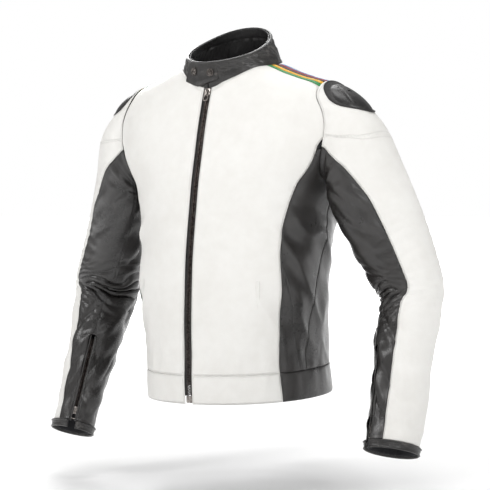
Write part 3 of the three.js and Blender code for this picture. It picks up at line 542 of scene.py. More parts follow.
def metal(name, colour, tarnish, roughness):
    m = Nodes(name)
    stain = m.ramp(m.noise(220, 5, 0.65), 0.35, 0.7)
    m.bumps((m.noise(900, 3), 0.05, 0.4))
    m.look(Base_Color=m.mix(stain, (*colour, 1), (*tarnish, 1)),
            Roughness=m.ramp(stain, 0, 1, roughness, roughness + 0.25))
    m.shader.inputs["Metallic"].default_value = 1.0
    return m.material


def moulded(name):
    m = Nodes(name)
    scuff = m.noise(120, 5, 0.6)
    rim = m.attribute("flange")
    colour = m.mix(m.ramp(scuff, 0.35, 0.75), (0.012, 0.011, 0.011, 1), (0.03, 0.027, 0.026, 1))
    rough = m.math("ADD", m.ramp(scuff, 0.3, 0.8, 0.34, 0.46), m.math("MULTIPLY", rim, 0.28))
    m.bumps((m.noise(45, 3), 0.6, 0.25), (m.ramp(m.cells(700), 0.0, 0.12), 0.08, 0.35))
    m.look(Base_Color=colour, Roughness=rough)
    m.shader.inputs["Coat Weight"].default_value = 0.15
    m.shader.inputs["Coat Roughness"].default_value = 0.25
    return m.material


WHITE = leather("white_leather", (0.8, 0.785, 0.75), (0.86, 0.85, 0.82), 0.44, 0.7, seam_shade_factor=0.8)
BLACK = leather("black_leather", (0.009, 0.0078, 0.0072), (0.022, 0.0192, 0.0178), 0.31, 1.2, wear_and_sheen=0.04, polish=0.5)
WORN_SHEEN_LEATHER = leather("worn_sheen_black_leather", (0.006, 0.0055, 0.0055), (0.024, 0.0215, 0.02), 0.34, 1.5, wear_and_sheen=0.6, polish=0.35)
STRIPES = {
    "green": leather("green_leather", (0.0, 0.2, 0.035), (0.005, 0.3, 0.055), 0.42, 0.5),
    "yellow": leather("yellow_leather", (0.85, 0.4, 0.0), (0.95, 0.5, 0.005), 0.42, 0.5),
    "black": leather("dark_leather", (0.03, 0.012, 0.012), (0.05, 0.02, 0.02), 0.42, 0.5),
    "red": leather("red_leather", (0.3, 0.004, 0.01), (0.42, 0.008, 0.016), 0.42, 0.5),
    "blue": leather("blue_leather", (0.04, 0.2, 0.5), (0.06, 0.28, 0.62), 0.42, 0.5),
}
CLOTH = cloth("lining_cloth", (0.012, 0.012, 0.014), (0.028, 0.028, 0.032))
TAPE = cloth("zip_cloth", (0.012, 0.01, 0.009), (0.024, 0.02, 0.018), 1400)
TEETH = metal("zip_teeth", (0.1, 0.082, 0.075), (0.03, 0.024, 0.021), 0.4)
METAL = metal("slider_metal", (0.36, 0.33, 0.31), (0.13, 0.115, 0.105), 0.26)
SNAP = metal("snap_metal", (0.16, 0.145, 0.135), (0.04, 0.035, 0.032), 0.3)
MOULDED = moulded("moulded_cap")
FOAM = cloth("protector_foam", (0.04, 0.045, 0.055), (0.07, 0.075, 0.085), 500)


bpy.context.scene.view_settings.view_transform = "Standard"
make_camera()
make_surroundings()
add_light("key", (-2.2, -3.0, 2.2), 1.3, 46)
add_light("side", (3.2, -1.6, 1.6), 1.0, 34)
add_light("top", (0.3, -0.2, 3.4), 2.0, 50)
add_light("rear", (-2.6, 2.4, 1.4), 1.2, 34)
add_light("front", (1.9, -2.6, 0.5), 0.8, 10)
add_light("floor", (-2.0, 2.6, 3.4), 3.0, 90, (-0.6, 1.5, -0.7))

# ---------------------------------------------------------------- finishing a piece
def thickened(sheet, thickness):
    """The sheet with an inner face and a rim between the two."""
    count = len(sheet.data)
    inner = sheet.points - sheet.normals * thickness
    points = np.vstack([sheet.points, inner])
    faces = list(sheet.faces) + [[i + count for i in face[::-1]] for face in sheet.faces]
    seen = {}
    for face in sheet.faces:
        for n, i in enumerate(face):
            j = face[(n + 1) % len(face)]
            seen[(i, j)] = True
    for i, j in seen:
        if (j, i) not in seen:
            faces.append([j, i, i + count, j + count])
    return points, faces


def panel(name, sheet, fields, material, body, nodes, thickness=LEATHER, depth=1.1, roll=1.8):
    """A leather panel cut out of a sheet by its seam fields, rolled in at its seams."""
    for field in fields:
        sheet = sheet.clipped(field)
    edge = np.min([np.abs(field(sheet)) for field in fields], axis=0) if fields else np.full(len(sheet.data), 50.0)
    sheet.data[:, 0:3] -= sheet.normals * (depth * np.exp(-edge / roll))[:, None]
    points, faces = thickened(sheet, thickness)
    return dressed(mesh_object(name, points, faces, material, attributes={"edge": np.tile(edge, 2)}), body, nodes)


def dressed(obj, body, nodes):
    if isinstance(body, tuple):
        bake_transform(obj, *body)
    else:
        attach(obj, body)
    if nodes:
        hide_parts(*nodes)
    return obj


def both_sides(make):
    """Runs make(side, mirror) for the left and the right."""
    make("left", lambda sheet: sheet)
    make("right", lambda sheet: sheet.mirrored())


# ---------------------------------------------------------------- body leather
SIDE_FRONT = [[fall(1.1), -90], [fall(0.8), -91], [fall(0.52), -91], [fall(0.3), -87], [fall(0.17), -79],
        [ARMPIT_Z, -63], [-185, -54], [-155, -50]]
SIDE_SEAM = [[fall(1.1), -40], [fall(0.86), -38], [fall(0.54), -22], [fall(0.37), 2], [fall(0.19), 16], [-155, 16]]
SIDE_BACK = [[fall(1.1), 92], [fall(0.8), 88], [fall(0.52), 84], [fall(0.3), 88], [fall(0.17), 86],
        [ARMPIT_Z, 78], [-185, 70], [-155, 64]]
STRIPES_FRONT = -17
STRIPES_BACK = 33


def seam_line(pairs, above):
    def line(z):
        low = smooth(pairs, np.minimum(z, -155))
        share = smoothstep(z, -155, -100)
        return low * (1 - share) + above * share
    return line


front_line = seam_line(SIDE_FRONT, STRIPES_FRONT)
back_line = seam_line(SIDE_BACK, STRIPES_BACK)


def body_grid(inset, slices, step, hem=HEM_Z):
    """Rows of points from the hem up over the shoulders."""
    angle = np.linspace(0, 2 * np.pi, slices, endpoint=False)
    levels = np.linspace(hem, -150, int((-150 - hem) / step) + 1)
    tilts = np.radians(np.linspace(0, 89, int(235 / step)))[1:]
    rows = []
    for z, tilt in [(z, 0.0) for z in levels] + [(-150.0, t) for t in tilts]:
        direction = np.stack([np.cos(angle) * np.cos(tilt), np.sin(angle) * np.cos(tilt),
                np.full(slices, np.sin(tilt))], -1)
        rows.append((z, direction))
    centres = np.array([[0, 5, z] for z, _ in rows])[:, None, :]
    directions = np.array([d for _, d in rows])

    def along(distance):
        return centres + directions * distance.reshape(len(rows), slices)[..., None]

    distance = reach(lambda d: along(d).reshape(-1, 3), inset, 400, len(rows) * slices)
    grid = along(distance)
    coords = np.stack(np.broadcast_arrays(np.arange(len(rows))[:, None] * 1.0, angle[None, :]), -1)
    return grid, coords


def body_folds(p, coords):
    """Soft creases: broad swells, gathers at the waist seam and pulls that run to the armpits."""
    x, y, z = p[..., 0], p[..., 1], p[..., 2]
    swell = 1.5 * noise(np.stack([x / 1.0, y / 1.0, z / 2.2], -1), 75,
            3) + 0.7 * (0.4 - np.abs(noise(np.stack([x, y, z / 1.6], -1), 48, 4)))
    girth = np.arctan2(y, x) * 150
    gathers = bump(z, WAIST_Z + 14, 34) * np.minimum(noise(np.stack([girth, z / 3, 0 * z], -1), 15, 8), 0.6) * 1.5
    band = bump(z, WAIST_Z - 22, 18) * noise(np.stack([girth, z / 3, 0 * z], -1), 22, 9) * 1.0
    side = smoothstep(np.abs(x), 95, 165)
    slant = z + 0.9 * (165 - np.abs(x)) + 0.35 * y
    pulls = side * bump(z, -255, 85) * noise(np.stack([slant, np.abs(x) / 4, y / 4], -1), 21, 12) * 2.6
    falling = np.stack([y + 0.55 * z, (z - 0.55 * y) / 2.6, 0 * z], -1)
    black = side * smoothstep(-z, 215, 290) * smoothstep(z, WAIST_Z - 4, WAIST_Z
            + 26) * (0.4 - np.abs(noise(falling, 46, 21))) * 6.5
    front = bump(np.abs(x), 8, 26) * np.sin(z / 19) * 0.35
    return swell + gathers + band + pulls + black + front


body = sheet_of(*body_grid(0, 330, 3.6), True, body_folds)


def above(z):
    return lambda s: s.base[:, 2] - z


def below(z):
    return lambda s: z - s.base[:, 2]


def before(line):
    return lambda s: line(s.base[:, 2]) - s.base[:, 1]


def behind(line):
    return lambda s: s.base[:, 1] - line(s.base[:, 2])


def constant(value):
    return lambda z: np.full(np.shape(z), float(value))


def left_of(x):
    return lambda s: s.base[:, 0] - x


def within_armholes(s):
    return smooth(ARMHOLE, s.base[:, 2]) - np.abs(s.base[:, 0]) + 0.6


def outside_neck(s):
    reach_out = np.hypot(s.base[:, 0] / 92.3, (s.base[:, 1] - 5) / 75.3)
    return np.where(s.base[:, 2] > -100, (reach_out - 1) * 82, 60)


side_line = lambda z: smooth(SIDE_SEAM, z)
wedge_line = lambda z: smooth([[fall(0.86), -52], [fall(0.7), -62], [fall(0.5), -78], [fall(0.36), -90],
        [fall(0.2), -120]], z)
left_body = body.clipped(left_of(-1)).clipped(within_armholes)


def body_panels(side, mirror):
    upper, lower = above(WAIST_Z), below(WAIST_Z)
    root = "jacket_body"

    def cut(name, fields, material, slot, nodes, seams=()):
        piece = left_body
        for field in fields:
            piece = piece.clipped(field)
        edge = np.min([np.abs(field(piece)) for field in (*fields, *seams)], axis=0)
        piece.data[:, 0:3] -= piece.normals * (0.8 * np.exp(-edge / 1.6))[:, None]
        piece = mirror(piece)
        points, faces = thickened(piece, LEATHER)
        dressed(mesh_object(name, points, faces, material, attributes={"edge": np.tile(edge, 2)}), root, nodes)

    arm = within_armholes
    cut("chest_leather_" + side, [left_of(8), before(front_line), upper, arm, outside_neck], WHITE,
            "white_leather", ["front_panel_" + side])
    cut("hem_leather_" + side, [left_of(8), before(front_line), lower, above(HEM_Z)], WHITE, "white_leather",
            ["waistband_front_" + side])
    flank = [left_of(20), below(-155), arm]
    cut("flank_front_" + side, flank + [behind(front_line), before(side_line), upper], BLACK, "black_leather",
            ["side_panel_front_" + side],
        [behind(wedge_line)])
    cut("flank_back_" + side, flank + [behind(side_line), before(back_line), upper], BLACK, "black_leather",
            ["side_panel_back_" + side])
    cut("hem_side_" + side, [left_of(20), behind(front_line), before(back_line), lower, above(HEM_Z)], BLACK,
            "black_leather", ["waistband_side_" + side])
    for i, key in enumerate(STRIPES):
        low, high = STRIPES_FRONT + 10 * i, STRIPES_FRONT + 10 * (i + 1)
        fields = [left_of(20), above(-100), behind(constant(low)), before(constant(high)), arm, outside_neck]
        cut("shoulder_%s_%s" % (key, side), fields, STRIPES[key], "stripe_" + key,
                ["shoulder_stripe_%s_%s" % (key, side)])


both_sides(body_panels)
back_fields = [behind(back_line), above(WAIST_Z), within_armholes, outside_neck]
panel("back_leather", body, back_fields, WHITE, "jacket_body", ["back_panel"])
panel("hem_back", body, [behind(back_line), below(WAIST_Z), above(HEM_Z)], BLACK,
        "jacket_body", ["waistband_back"])

# ---------------------------------------------------------------- sleeves
BLEND = {
    "left": ("jacket_body", "forearm_left_part", (0.319, 0.035, -0.368), (0.331, 0.029, -0.432)),
    "right": ("jacket_body", "forearm_right_part", (-0.319, 0.035, -0.368), (-0.331, 0.029, -0.432)),
}


def sleeve_folds(p, coords):
    """Folds across the inside of the elbow, slanting creases beside them and a long soft swell."""
    ring, angle = coords[..., 0], coords[..., 1]
    s = smooth(RING_DISTANCE, ring)
    a = np.where(angle < -110, angle + 360, angle)
    girth = a * 0.95
    inner = bump(a, 150, 62)
    outer = bump(a, 20, 70)
    wander = noise(np.stack([girth / 2, s, 0 * s], -1), 36, 5) * 16
    waves = np.sin((s + wander + 0.0035 * (a - 165) ** 2 * np.sign(s - 303)) * 2 * np.pi / 34)
    elbow = inner * bump(s, 303, 50) * (1 - np.abs(waves) ** 0.7 * 1.7) * 6.0
    across = np.stack([girth / 3.2, s, 0 * s], -1)
    pit = bump(a, 190, 80) * bump(s, 60, 60) * noise(across, 17, 31) * 3.4
    ribs = outer * bump(s, 225, 60) * np.sin((s + wander * 0.4) * 2 * np.pi / 17) * 0.7
    elbow_back = outer * bump(s, 318, 34) * noise(across, 16, 44) * 3.0
    fore = smoothstep(s, 330,
            380) * (1 - smoothstep(s, 540, 575)) * noise(np.stack([girth / 1.5, s / 1.4, 0 * s], -1), 28, 51) * 3.0
    swell = noise(np.stack([girth, s / 2, 0 * s], -1), 60, 61) * 1.1
    slanted = np.stack([girth + 0.7 * s, (s - 0.7 * girth) / 3.0, 0 * s], -1)
    crumple = bump(a, 160, 90) * smoothstep(s, 25, 90) * (0.35 - np.abs(noise(slanted, 34, 77))) * 6.5
    return (elbow + pit + ribs + elbow_back + fore + swell + crumple) * smoothstep(s, 2, 30) * (1 - 0.8
            * smoothstep(s, 545, 560))


def sleeve_sheet(first, last, low, high, rows, columns, inset=0.0, displace=sleeve_folds):
    ring = np.linspace(first, last, rows)[:, None]
    share = np.linspace(0, 1, columns)[None, :]
    angle = low(ring) * (1 - share) + high(ring) * share
    ring = np.broadcast_to(ring, angle.shape)
    base = sleeve_at(ring, angle, inset)
    coords = np.stack([ring, angle], -1)
    # turned over, so these sheets face into the sleeve: what is pushed in or thickened goes outward
    return sheet_of(base[:, ::-1], coords[:, ::-1], False, displace)


def armhole_field(s):
    return np.abs(s.base[:, 0]) - smooth(ARMHOLE, s.base[:, 2]) + 0.6


def seam_field(low, high):
    """Distance to the nearer of two seams that run down the sleeve."""
    def field(s):
        ring, angle = s.coords[:, 0], s.coords[:, 1]
        return np.minimum(angle - low(ring), high(ring) - angle) * 0.9 + 1e-3
    return field


def cuff_field(s):
    return (ROLL_RING - s.coords[:, 0]) * 84 - 0.3


white_low = lambda ring: smooth(BACK_SEAM, ring) - 360
white_high = lambda ring: smooth(FRONT_SEAM, ring)
black_low = lambda ring: smooth(FRONT_SEAM, ring)
black_high = lambda ring: smooth(BACK_SEAM, ring)
white_sleeve = sleeve_sheet(0.3, ROLL_RING, white_low, white_high, 190, 60)
black_sleeve = sleeve_sheet(0.3, ROLL_RING, black_low, black_high, 190, 60)

# The cuff zip's frame: x across, y out, z up the forearm.
ZIP_UP = np.array([-0.069, 0.364, 0.929])
ZIP_OUT = np.array([-0.576, -0.775, 0.260])
ZIP_ACROSS = np.array([-0.814, 0.517, -0.263])
ZIP_FOOT = np.array([316.185, -91.692, -623.717])
CUFF_ZIP_LENGTH = 150


def in_zip_frame(p):
    d = p - ZIP_FOOT
    return np.stack([d @ ZIP_ACROSS, d @ ZIP_OUT, d @ ZIP_UP], -1)


def outside_slot(s):
    q = in_zip_frame(s.base)
    near = np.abs(q[:, 1]) < 22
    gap = np.maximum(np.abs(q[:, 0]) - 6.3, q[:, 2] - CUFF_ZIP_LENGTH)
    return np.where(near, gap, 60)


def head_seam(s):
    """A seam across the head of the white sleeve."""
    line = smooth([[-110, 86], [-20, 78], [30, 70], [60, 48], [90, 12], [120, -20]], s.coords[:, 1])
    return smooth(RING_DISTANCE, s.coords[:, 0]) - line


def inner_seam(s):
    """The seam down the front of the black sleeve, from the armhole to the zip."""
    ring, angle = s.coords[:, 0], s.coords[:, 1]
    line = smooth([[1, 150], [4, 142], [6, 132], [8, 127], [11, 125]], ring)
    return np.where(smooth(RING_DISTANCE, ring) < 425, (angle - line) * 0.9, 60)


def sleeve_pieces(side, mirror):
    def cut(name, sheet, fields, material, slot, body_name, nodes, seams=()):
        for field in fields:
            sheet = sheet.clipped(field)
        edge = np.min([np.abs(field(sheet)) for field in (*fields, *seams)], axis=0)
        sheet.data[:, 0:3] -= sheet.normals * (0.8 * np.exp(-edge / 1.6))[:, None]
        points, faces = thickened(mirror(sheet), LEATHER)
        dressed(mesh_object(name, points, faces, material, attributes={"edge": np.tile(edge, 2)}),
                body_name, nodes)

    cut("sleeve_white_" + side, white_sleeve, [armhole_field, seam_field(white_low, white_high), cuff_field], WHITE,
        "white_leather", BLEND[side], ["sleeve_upper_outer_" + side, "forearm_outer_" + side], [head_seam])
    cut("sleeve_black_" + side, black_sleeve,
            [armhole_field, seam_field(black_low, black_high), cuff_field, outside_slot], BLACK,
        "black_leather", BLEND[side], ["sleeve_upper_inner_" + side, "forearm_inner_" + side, "sleeve_elbow_" + side],
        [inner_seam])


both_sides(sleeve_pieces)

# ---------------------------------------------------------------- closed bands and tubes
def band_mesh(sections, closed):
    """Points and faces of a closed section swept through rows of points: an array of rows by section by 3."""
    rows, around = sections.shape[:2]
    faces = []
    for r in range(rows if closed else rows - 1):
        n = (r + 1) % rows
        for c in range(around):
            d = (c + 1) % around
            faces.append([r * around + c, r * around + d, n * around + d, n * around + c])
    if not closed:
        faces.append(list(range(around))[::-1])
        faces.append([(rows - 1) * around + c for c in range(around)])
    return sections.reshape(-1, 3), faces


def fix_normals(obj):
    mesh = bmesh.new()
    mesh.from_mesh(obj.data)
    bmesh.ops.recalc_face_normals(mesh, faces=mesh.faces)
    mesh.to_mesh(obj.data)
    mesh.free()
    return obj


def swept(name, sections, closed, material, body, nodes=(), edge=None):
    points, faces = band_mesh(np.asarray(sections), closed)
    attributes = {"edge": np.full(len(points), 9.0) if edge is None else np.asarray(edge).reshape(-1)}
    return dressed(fix_normals(mesh_object(name, points, faces, material, attributes=attributes)), body, nodes)


def tube_sections(path, radius, sides=10, closed=False, flat=1.0, normal=None):
    """Sections of a tube along a path; flat squeezes it along normal."""
    path = np.asarray(path, float)
    along = np.roll(path, -1, 0) - np.roll(path, 1, 0)
    if not closed:
        along[0], along[-1] = path[1] - path[0], path[-1] - path[-2]
    along /= np.linalg.norm(along, axis=1, keepdims=True)
    normal = np.broadcast_to(np.asarray(normal if normal is not None else (0, 0, 1.0), float), path.shape)
    side = np.cross(along, normal)
    side /= np.linalg.norm(side, axis=1, keepdims=True)
    out = np.cross(side, along)
    t = np.linspace(0, 2 * np.pi, sides, endpoint=False)
    radius = np.broadcast_to(radius, len(path))[:, None, None]
    return path[:, None] + radius * (side[:, None] * np.cos(t)[:, None] + out[:, None] * np.sin(t)[:, None] * flat)


def evaluated(obj):
    """Applies an object's modifiers."""
    bpy.context.view_layer.update()
    mesh = bpy.data.meshes.new_from_object(obj.evaluated_get(bpy.context.evaluated_depsgraph_get()))
    obj.modifiers.clear()
    obj.data = mesh
    return obj


def bevelled_copy(name, node, material, body, width=0.35):
    """A CAD node with its flat faces made whole and its edges rounded."""
    mesh = frame["nodes"][node].data.copy()
    work = bmesh.new()
    work.from_mesh(mesh)
    bmesh.ops.remove_doubles(work, verts=work.verts, dist=2e-6)
    bmesh.ops.dissolve_limit(work, angle_limit=math.radians(2), verts=work.verts, edges=work.edges)
    work.to_mesh(mesh)
    work.free()
    mesh.materials.clear()
    mesh.materials.append(material)
    for name_ in [a.name for a in mesh.attributes if a.name == "edge"]:
        mesh.attributes.remove(mesh.attributes[name_])
    obj = bpy.data.objects.new(name, mesh)
    bpy.context.collection.objects.link(obj)
    modifier = obj.modifiers.new("bevel", "BEVEL")
    modifier.width = width * MM
    modifier.segments = 3
    modifier.limit_method = "ANGLE"
    modifier.angle_limit = math.radians(35)
    evaluated(obj)
    return dressed(obj, body, [node])


# ---------------------------------------------------------------- collar
COLLAR_FOOT = [[-70, -39], [-48, -22], [-22, -14], [40, -7], [80, -1]]
COLLAR_RIM = [[-71, -1], [-28, 14], [26, 35], [67, 56]]


def collar_at(turn, height, inset):
    angle = 2 * np.pi * np.asarray(turn, float)
    half_width = 92 - 16 * height - inset
    half_depth = 75 - 6.4 * height - inset
    y = 5 - 7 * height + half_depth * np.sin(angle)
    foot_y = 5 + 75 * np.sin(angle)
    rim_y = foot_y - 7 - 6.4 * np.sin(angle)
    foot, rim = smooth(COLLAR_FOOT, foot_y), smooth(COLLAR_RIM, rim_y)
    return np.stack([half_width * np.cos(angle), y, foot + (rim - foot) * height], -1)


def turn_at(x):
    return 1 - np.arccos(x / 84) / (2 * np.pi)


def collar_band():
    slit = 0.0027
    turn = np.linspace(0.75 + slit, 1.75 - slit, 260)[:, None]
    outer = np.linspace(0, 1, 26)
    height = np.concatenate([outer, [1.008, 1.0], outer[::-1][1:-1], [0.0]])
    inset = np.concatenate([np.zeros(26), [1.3, 2.4], np.full(24, 2.6), [2.6]])
    h = np.broadcast_to(height, (260, len(height)))
    arc = turn * 2 * np.pi * 84
    is_outer = np.arange(len(height)) < 26
    p = np.stack([arc + 0 * h, 40 * h, 0 * h], -1)
    slanted = p @ np.array([[1, 0.35, 0], [0, 1, 0], [0, 0, 1]])
    folds = noise(slanted / [3.0, 1.0, 1], 6.5, 71, 3) * 1.9 * smoothstep(h, 0.1, 0.35) * (1 - smoothstep(h, 0.8, 0.95))
    ridges = 0.9 * noise(slanted / [1.4, 1.0, 1], 11, 75)
    piping = 0.8 * bump(h, 0.95, 0.05) - 0.8 * bump(h, 0.86, 0.025) - 0.9 * bump(h, 0.12,
            0.03) - 0.4 * bump(h, 0.2, 0.02)
    swell = is_outer * (folds + ridges * 0.6 + piping) * (1 - smoothstep(h, 0.97, 1.0)) * smoothstep(h, 0.0, 0.06)
    front = bump(np.abs(turn - 1.25), 0.5, 0.16)
    reach_down = 0.26 * front * (1 - smoothstep(h, 0.0, 0.4))
    sections = collar_at(np.broadcast_to(turn, h.shape), h - reach_down, inset - swell)
    edge = np.minimum(np.minimum(h, 1 - h) * 38, 50)
    swept("collar_leather", sections, False, WORN_SHEEN_LEATHER, "jacket_body", ["collar_band"], edge)


def collar_lining():
    slit = 0.0105
    turn = np.linspace(0.75 + slit, 1.75 - slit, 300)[:, None]
    inner = np.linspace(0.98, 0.06, 26)
    height = np.concatenate([[0.06, 0.98], inner])
    inset = np.concatenate([[4.1, 4.1], np.full(26, 6.0)])
    h = np.broadcast_to(height, (300, len(height)))
    arc = turn * 2 * np.pi * 80 + 0 * h
    is_inner = np.arange(len(height)) > 1
    pleats = 0.5 * np.sin(arc * 2 * np.pi / 4.2) * smoothstep(h, 0.7, 0.78) * (1 - smoothstep(h, 0.93, 0.98))
    seam = -1.0 * bump(h, 0.68, 0.03)
    wrinkles = noise(np.stack([arc + 14 * h, 12 * h, 0 * h], -1), 9,
            81) * 1.8 * (1 - smoothstep(h, 0.6, 0.68)) * smoothstep(h, 0.06, 0.2)
    swell = is_inner * (pleats + seam + wrinkles)
    sections = collar_at(np.broadcast_to(turn, h.shape), h, inset + swell)
    swept("collar_inside", sections, False, LINING_LEATHER, "jacket_body", ["collar_lining"])


TAB_ROOT, TAB_END = 20.0, -45.0


def collar_tab():
    x = np.concatenate([np.linspace(TAB_ROOT, -34, 40), np.linspace(-34, TAB_END, 16)[1:]])
    corner = np.clip((-40 - x) / 5, 0, 1)
    drop = 0.13 * (1 - np.sqrt(1 - corner**2))
    foot = 0.12 - 0.36 * smoothstep(-x, -TAB_ROOT, 40)
    curl = 2.2 * smoothstep(-x, 22, 45)
    taper = 0.25 + 0.75 * smoothstep(-x, -TAB_ROOT, -TAB_ROOT + 14)
    sections = []
    for at, shrink, thick, low, lift in zip(x, drop, taper, foot, curl):
        low, high = low + shrink, 0.985 - shrink
        t = np.linspace(0, 1, 18)
        heights = np.concatenate([low + (high - low) * t, low + (high - low) * t[::-1]])
        crown = np.minimum(1, np.minimum(t, 1 - t) * 10 + 0.25) ** 0.5
        arc = np.stack([np.full(18, at), 40 * t, 0 * t], -1)
        rough = 0.5 * noise(arc / [1.6, 1, 1], 9, 91)
        groove = -0.35 * (bump(t, 0.1, 0.02) + bump(t, 0.9, 0.02))
        outer = -0.3 - thick * 2.2 * crown - (rough + groove) * thick
        lifted = lift * np.concatenate([(1 - t), (1 - t)[::-1]])
        insets = np.concatenate([outer, np.full(18, -0.35)]) - lifted
        sections.append(collar_at(np.full(36, turn_at(at)), heights, insets))
    rim = np.minimum(np.linspace(0, 1, 18), np.linspace(1, 0, 18)) * 44
    tab_edge = np.minimum(np.concatenate([rim, rim])[None, :], (x - TAB_END)[:, None])
    swept("tab_leather", sections, False, WORN_SHEEN_LEATHER, "collar_tab_part", ["collar_tab"], tab_edge)


SNAP_PROFILE = [(7.0, 0.0), (7.0, 1.0), (6.6, 1.7), (5.9, 1.9), (5.3, 1.5), (4.9, 1.1), (4.3, 1.15),
        (3.6, 1.7), (2.4, 2.2), (0.9, 2.4)]


def snap(name, node, x):
    foot = collar_at(turn_at(x), 0.52, -2.9)
    up = collar_at(turn_at(x), 1.0, 0) - collar_at(turn_at(x), 0.0, 0)
    up /= np.linalg.norm(up)
    along = collar_at(turn_at(x + 1), 0.5, 0) - collar_at(turn_at(x - 1), 0.5, 0)
    along /= np.linalg.norm(along)
    out = np.cross(along, up)
    out /= np.linalg.norm(out)
    up = np.cross(out, along)
    t = np.linspace(0, 2 * np.pi, 36, endpoint=False)
    rings = [foot + out * z + r * (along * np.cos(t)[:, None] + up * np.sin(t)[:, None]) for r, z in SNAP_PROFILE]
    swept(name, rings, False, SNAP, "collar_tab_part", [node])


def hanger():
    x = np.linspace(-28, 28, 30)
    lift = 1 - (x / 28) ** 6
    path = np.stack([x, 68 - 2.4 * lift, 4 + 0.3 * np.sin(x / 9)], -1)
    sections = tube_sections(path, 2.0, 12, False, 0.32, (0, 1, 0))
    swept("hanger_strap", sections, False, CLOTH, "jacket_body", ["hanger_loop"])


LINING_LEATHER = leather("collar_lining_leather", (0.006, 0.006, 0.006), (0.016, 0.015, 0.015), 0.42, 1.2, stitch=False)
collar_band()
collar_lining()
collar_tab()
snap("snap_far", "snap_cap_outer", -28)
snap("snap_near", "snap_cap_inner", 8)
hanger()

# ---------------------------------------------------------------- main zip
ZIP_TOP_Z = -44
ZIP_FOOT_Z = HEM_Z + 14
TEETH_TOP, TEETH_BOTTOM = 2.3, 4.9


def arc_at(x, depth, angle):
    radius = CHEST_RADIUS - depth
    return np.stack(np.broadcast_arrays(x, ARC_Y - radius * np.cos(angle), HEM_Z + radius * np.sin(angle)), -1)


def arc_angle(z):
    return math.asin((z - HEM_Z) / CHEST_RADIUS)


def teeth(place, count, step, mirror, inner, outer, top, bottom, start):
    """A row of rounded teeth: place(x, depth, s) gives points, and s runs along the chain."""
    shape = [(inner, 0.30), (inner + 0.5, 0.42), (outer - 0.6, 0.36), (outer, 0.2)]
    points, faces = [], []
    for i in range(count):
        s = start + i * step
        ring = [(x, s - w * step) for x, w in shape] + [(x, s + w * step) for x, w in reversed(shape)]
        first = len(points)
        cx, cs = (inner + outer) / 2, s
        for depth, scale in ((bottom, 1.0), (top + 0.4, 1.0), (top, 0.7)):
            for x, at in ring:
                px, ps = cx + (x - cx) * scale, cs + (at - cs) * scale
                points.append(place(mirror * px, depth, ps))
        n = len(ring)
        for layer in range(2):
            for c in range(n):
                d = (c + 1) % n
                faces.append([first + layer * n + c, first + layer * n + d, first + (layer + 1) * n + d,
                        first + (layer + 1) * n + c])
        faces.append([first + c for c in range(n)][::-1])
        faces.append([first + 2 * n + c for c in range(n)])
    return np.array(points).reshape(-1, 3), faces


def join_meshes(parts):
    points, faces, shift = [], [], 0
    for p, f in parts:
        points.append(p)
        faces += [[i + shift for i in face] for face in f]
        shift += len(p)
    return np.vstack(points), faces


def zip_side(side, sign):
    angles = np.linspace(arc_angle(ZIP_FOOT_Z), arc_angle(ZIP_TOP_Z), 160)
    section = [(3.0, 3.3), (4.2, 3.15), (6.0, 3.2), (14.0, 3.2), (14.0, 3.95), (3.0, 3.95)]
    rows = np.stack([arc_at(sign * x, d, angles) for x, d in section], 1)
    swept("zip_cloth_" + side, rows, False, TAPE, "jacket_body", ["zip_tape_" + side])
    step = 2.7
    length = (arc_angle(ZIP_TOP_Z) - arc_angle(ZIP_FOOT_Z)) * CHEST_RADIUS
    place = lambda x, depth, s: arc_at(x, depth, arc_angle(ZIP_FOOT_Z) + s / CHEST_RADIUS)
    points, faces = teeth(place, int(length / step) - 1, step, sign, 0.6, 3.6, TEETH_TOP, TEETH_BOTTOM - 0.3,
            1.5 + (sign > 0) * step / 2)
    obj = fix_normals(mesh_object("zip_chain_" + side, points, faces, TEETH, smooth_shade=False))
    dressed(obj, "jacket_body", [])


zip_side("left", 1)
zip_side("right", -1)


def frame_matrix(across, out, up, foot):
    return np.stack([across, out, up], 0), np.asarray(foot, float)


def in_frame(frame_, points):
    axes, foot = frame_
    return np.asarray(points) @ axes + foot


SLIDER_ANGLE = arc_angle(ZIP_TOP_Z - 8)
SLIDER_OUT = np.array([0, -math.cos(SLIDER_ANGLE), math.sin(SLIDER_ANGLE)])
SLIDER_UP = np.array([0, math.sin(SLIDER_ANGLE), math.cos(SLIDER_ANGLE)])
MAIN_SLIDER = frame_matrix([-1, 0, 0], SLIDER_OUT, SLIDER_UP, arc_at(0, TEETH_TOP, SLIDER_ANGLE))
BAIL_Y, BAIL_Z = 3.7, 2.0


def pull(name, node, place, body):
    """A stem on the bail's bar, a collar below it and an open ring at its end."""
    t = np.linspace(0, 2 * np.pi, 16, endpoint=False)
    rows = []
    for z, half in ((0.6, 0.8), (0.2, 1.5), (-2.0, 1.9), (-4.2, 1.5), (-4.8, 2.3), (-6.6, 2.3), (-7.2, 1.2),
            (-8.6, 1.2)):
        rows.append(np.stack([half * np.cos(t), BAIL_Y + 0.8 * np.sin(t), np.full(16, BAIL_Z + z)], -1))
    stem = band_mesh(np.array(rows), False)
    u = np.linspace(0, 2 * np.pi, 40, endpoint=False)
    x = 4.4 * np.sign(np.cos(u)) * np.abs(np.cos(u)) ** 0.6
    z = BAIL_Z - 13.3 + 4.8 * np.sign(np.sin(u)) * np.abs(np.sin(u)) ** 0.8
    ring = tube_sections(np.stack([x, np.full(40, BAIL_Y), z], -1), 0.95, 10, True, 1.0, (0, 1, 0))
    points, faces = join_meshes([stem, band_mesh(ring, True)])
    obj = fix_normals(mesh_object(name, in_frame(place, points), faces, METAL))
    dressed(obj, body, [node])


bevelled_copy("main_zip_slider", "zip_slider", METAL, "main_slider")
pull("main_zip_pull", "zip_pull", MAIN_SLIDER, "main_pull")
bevelled_copy("main_zip_box", "zip_bottom_box", METAL, "jacket_body", 0.6)


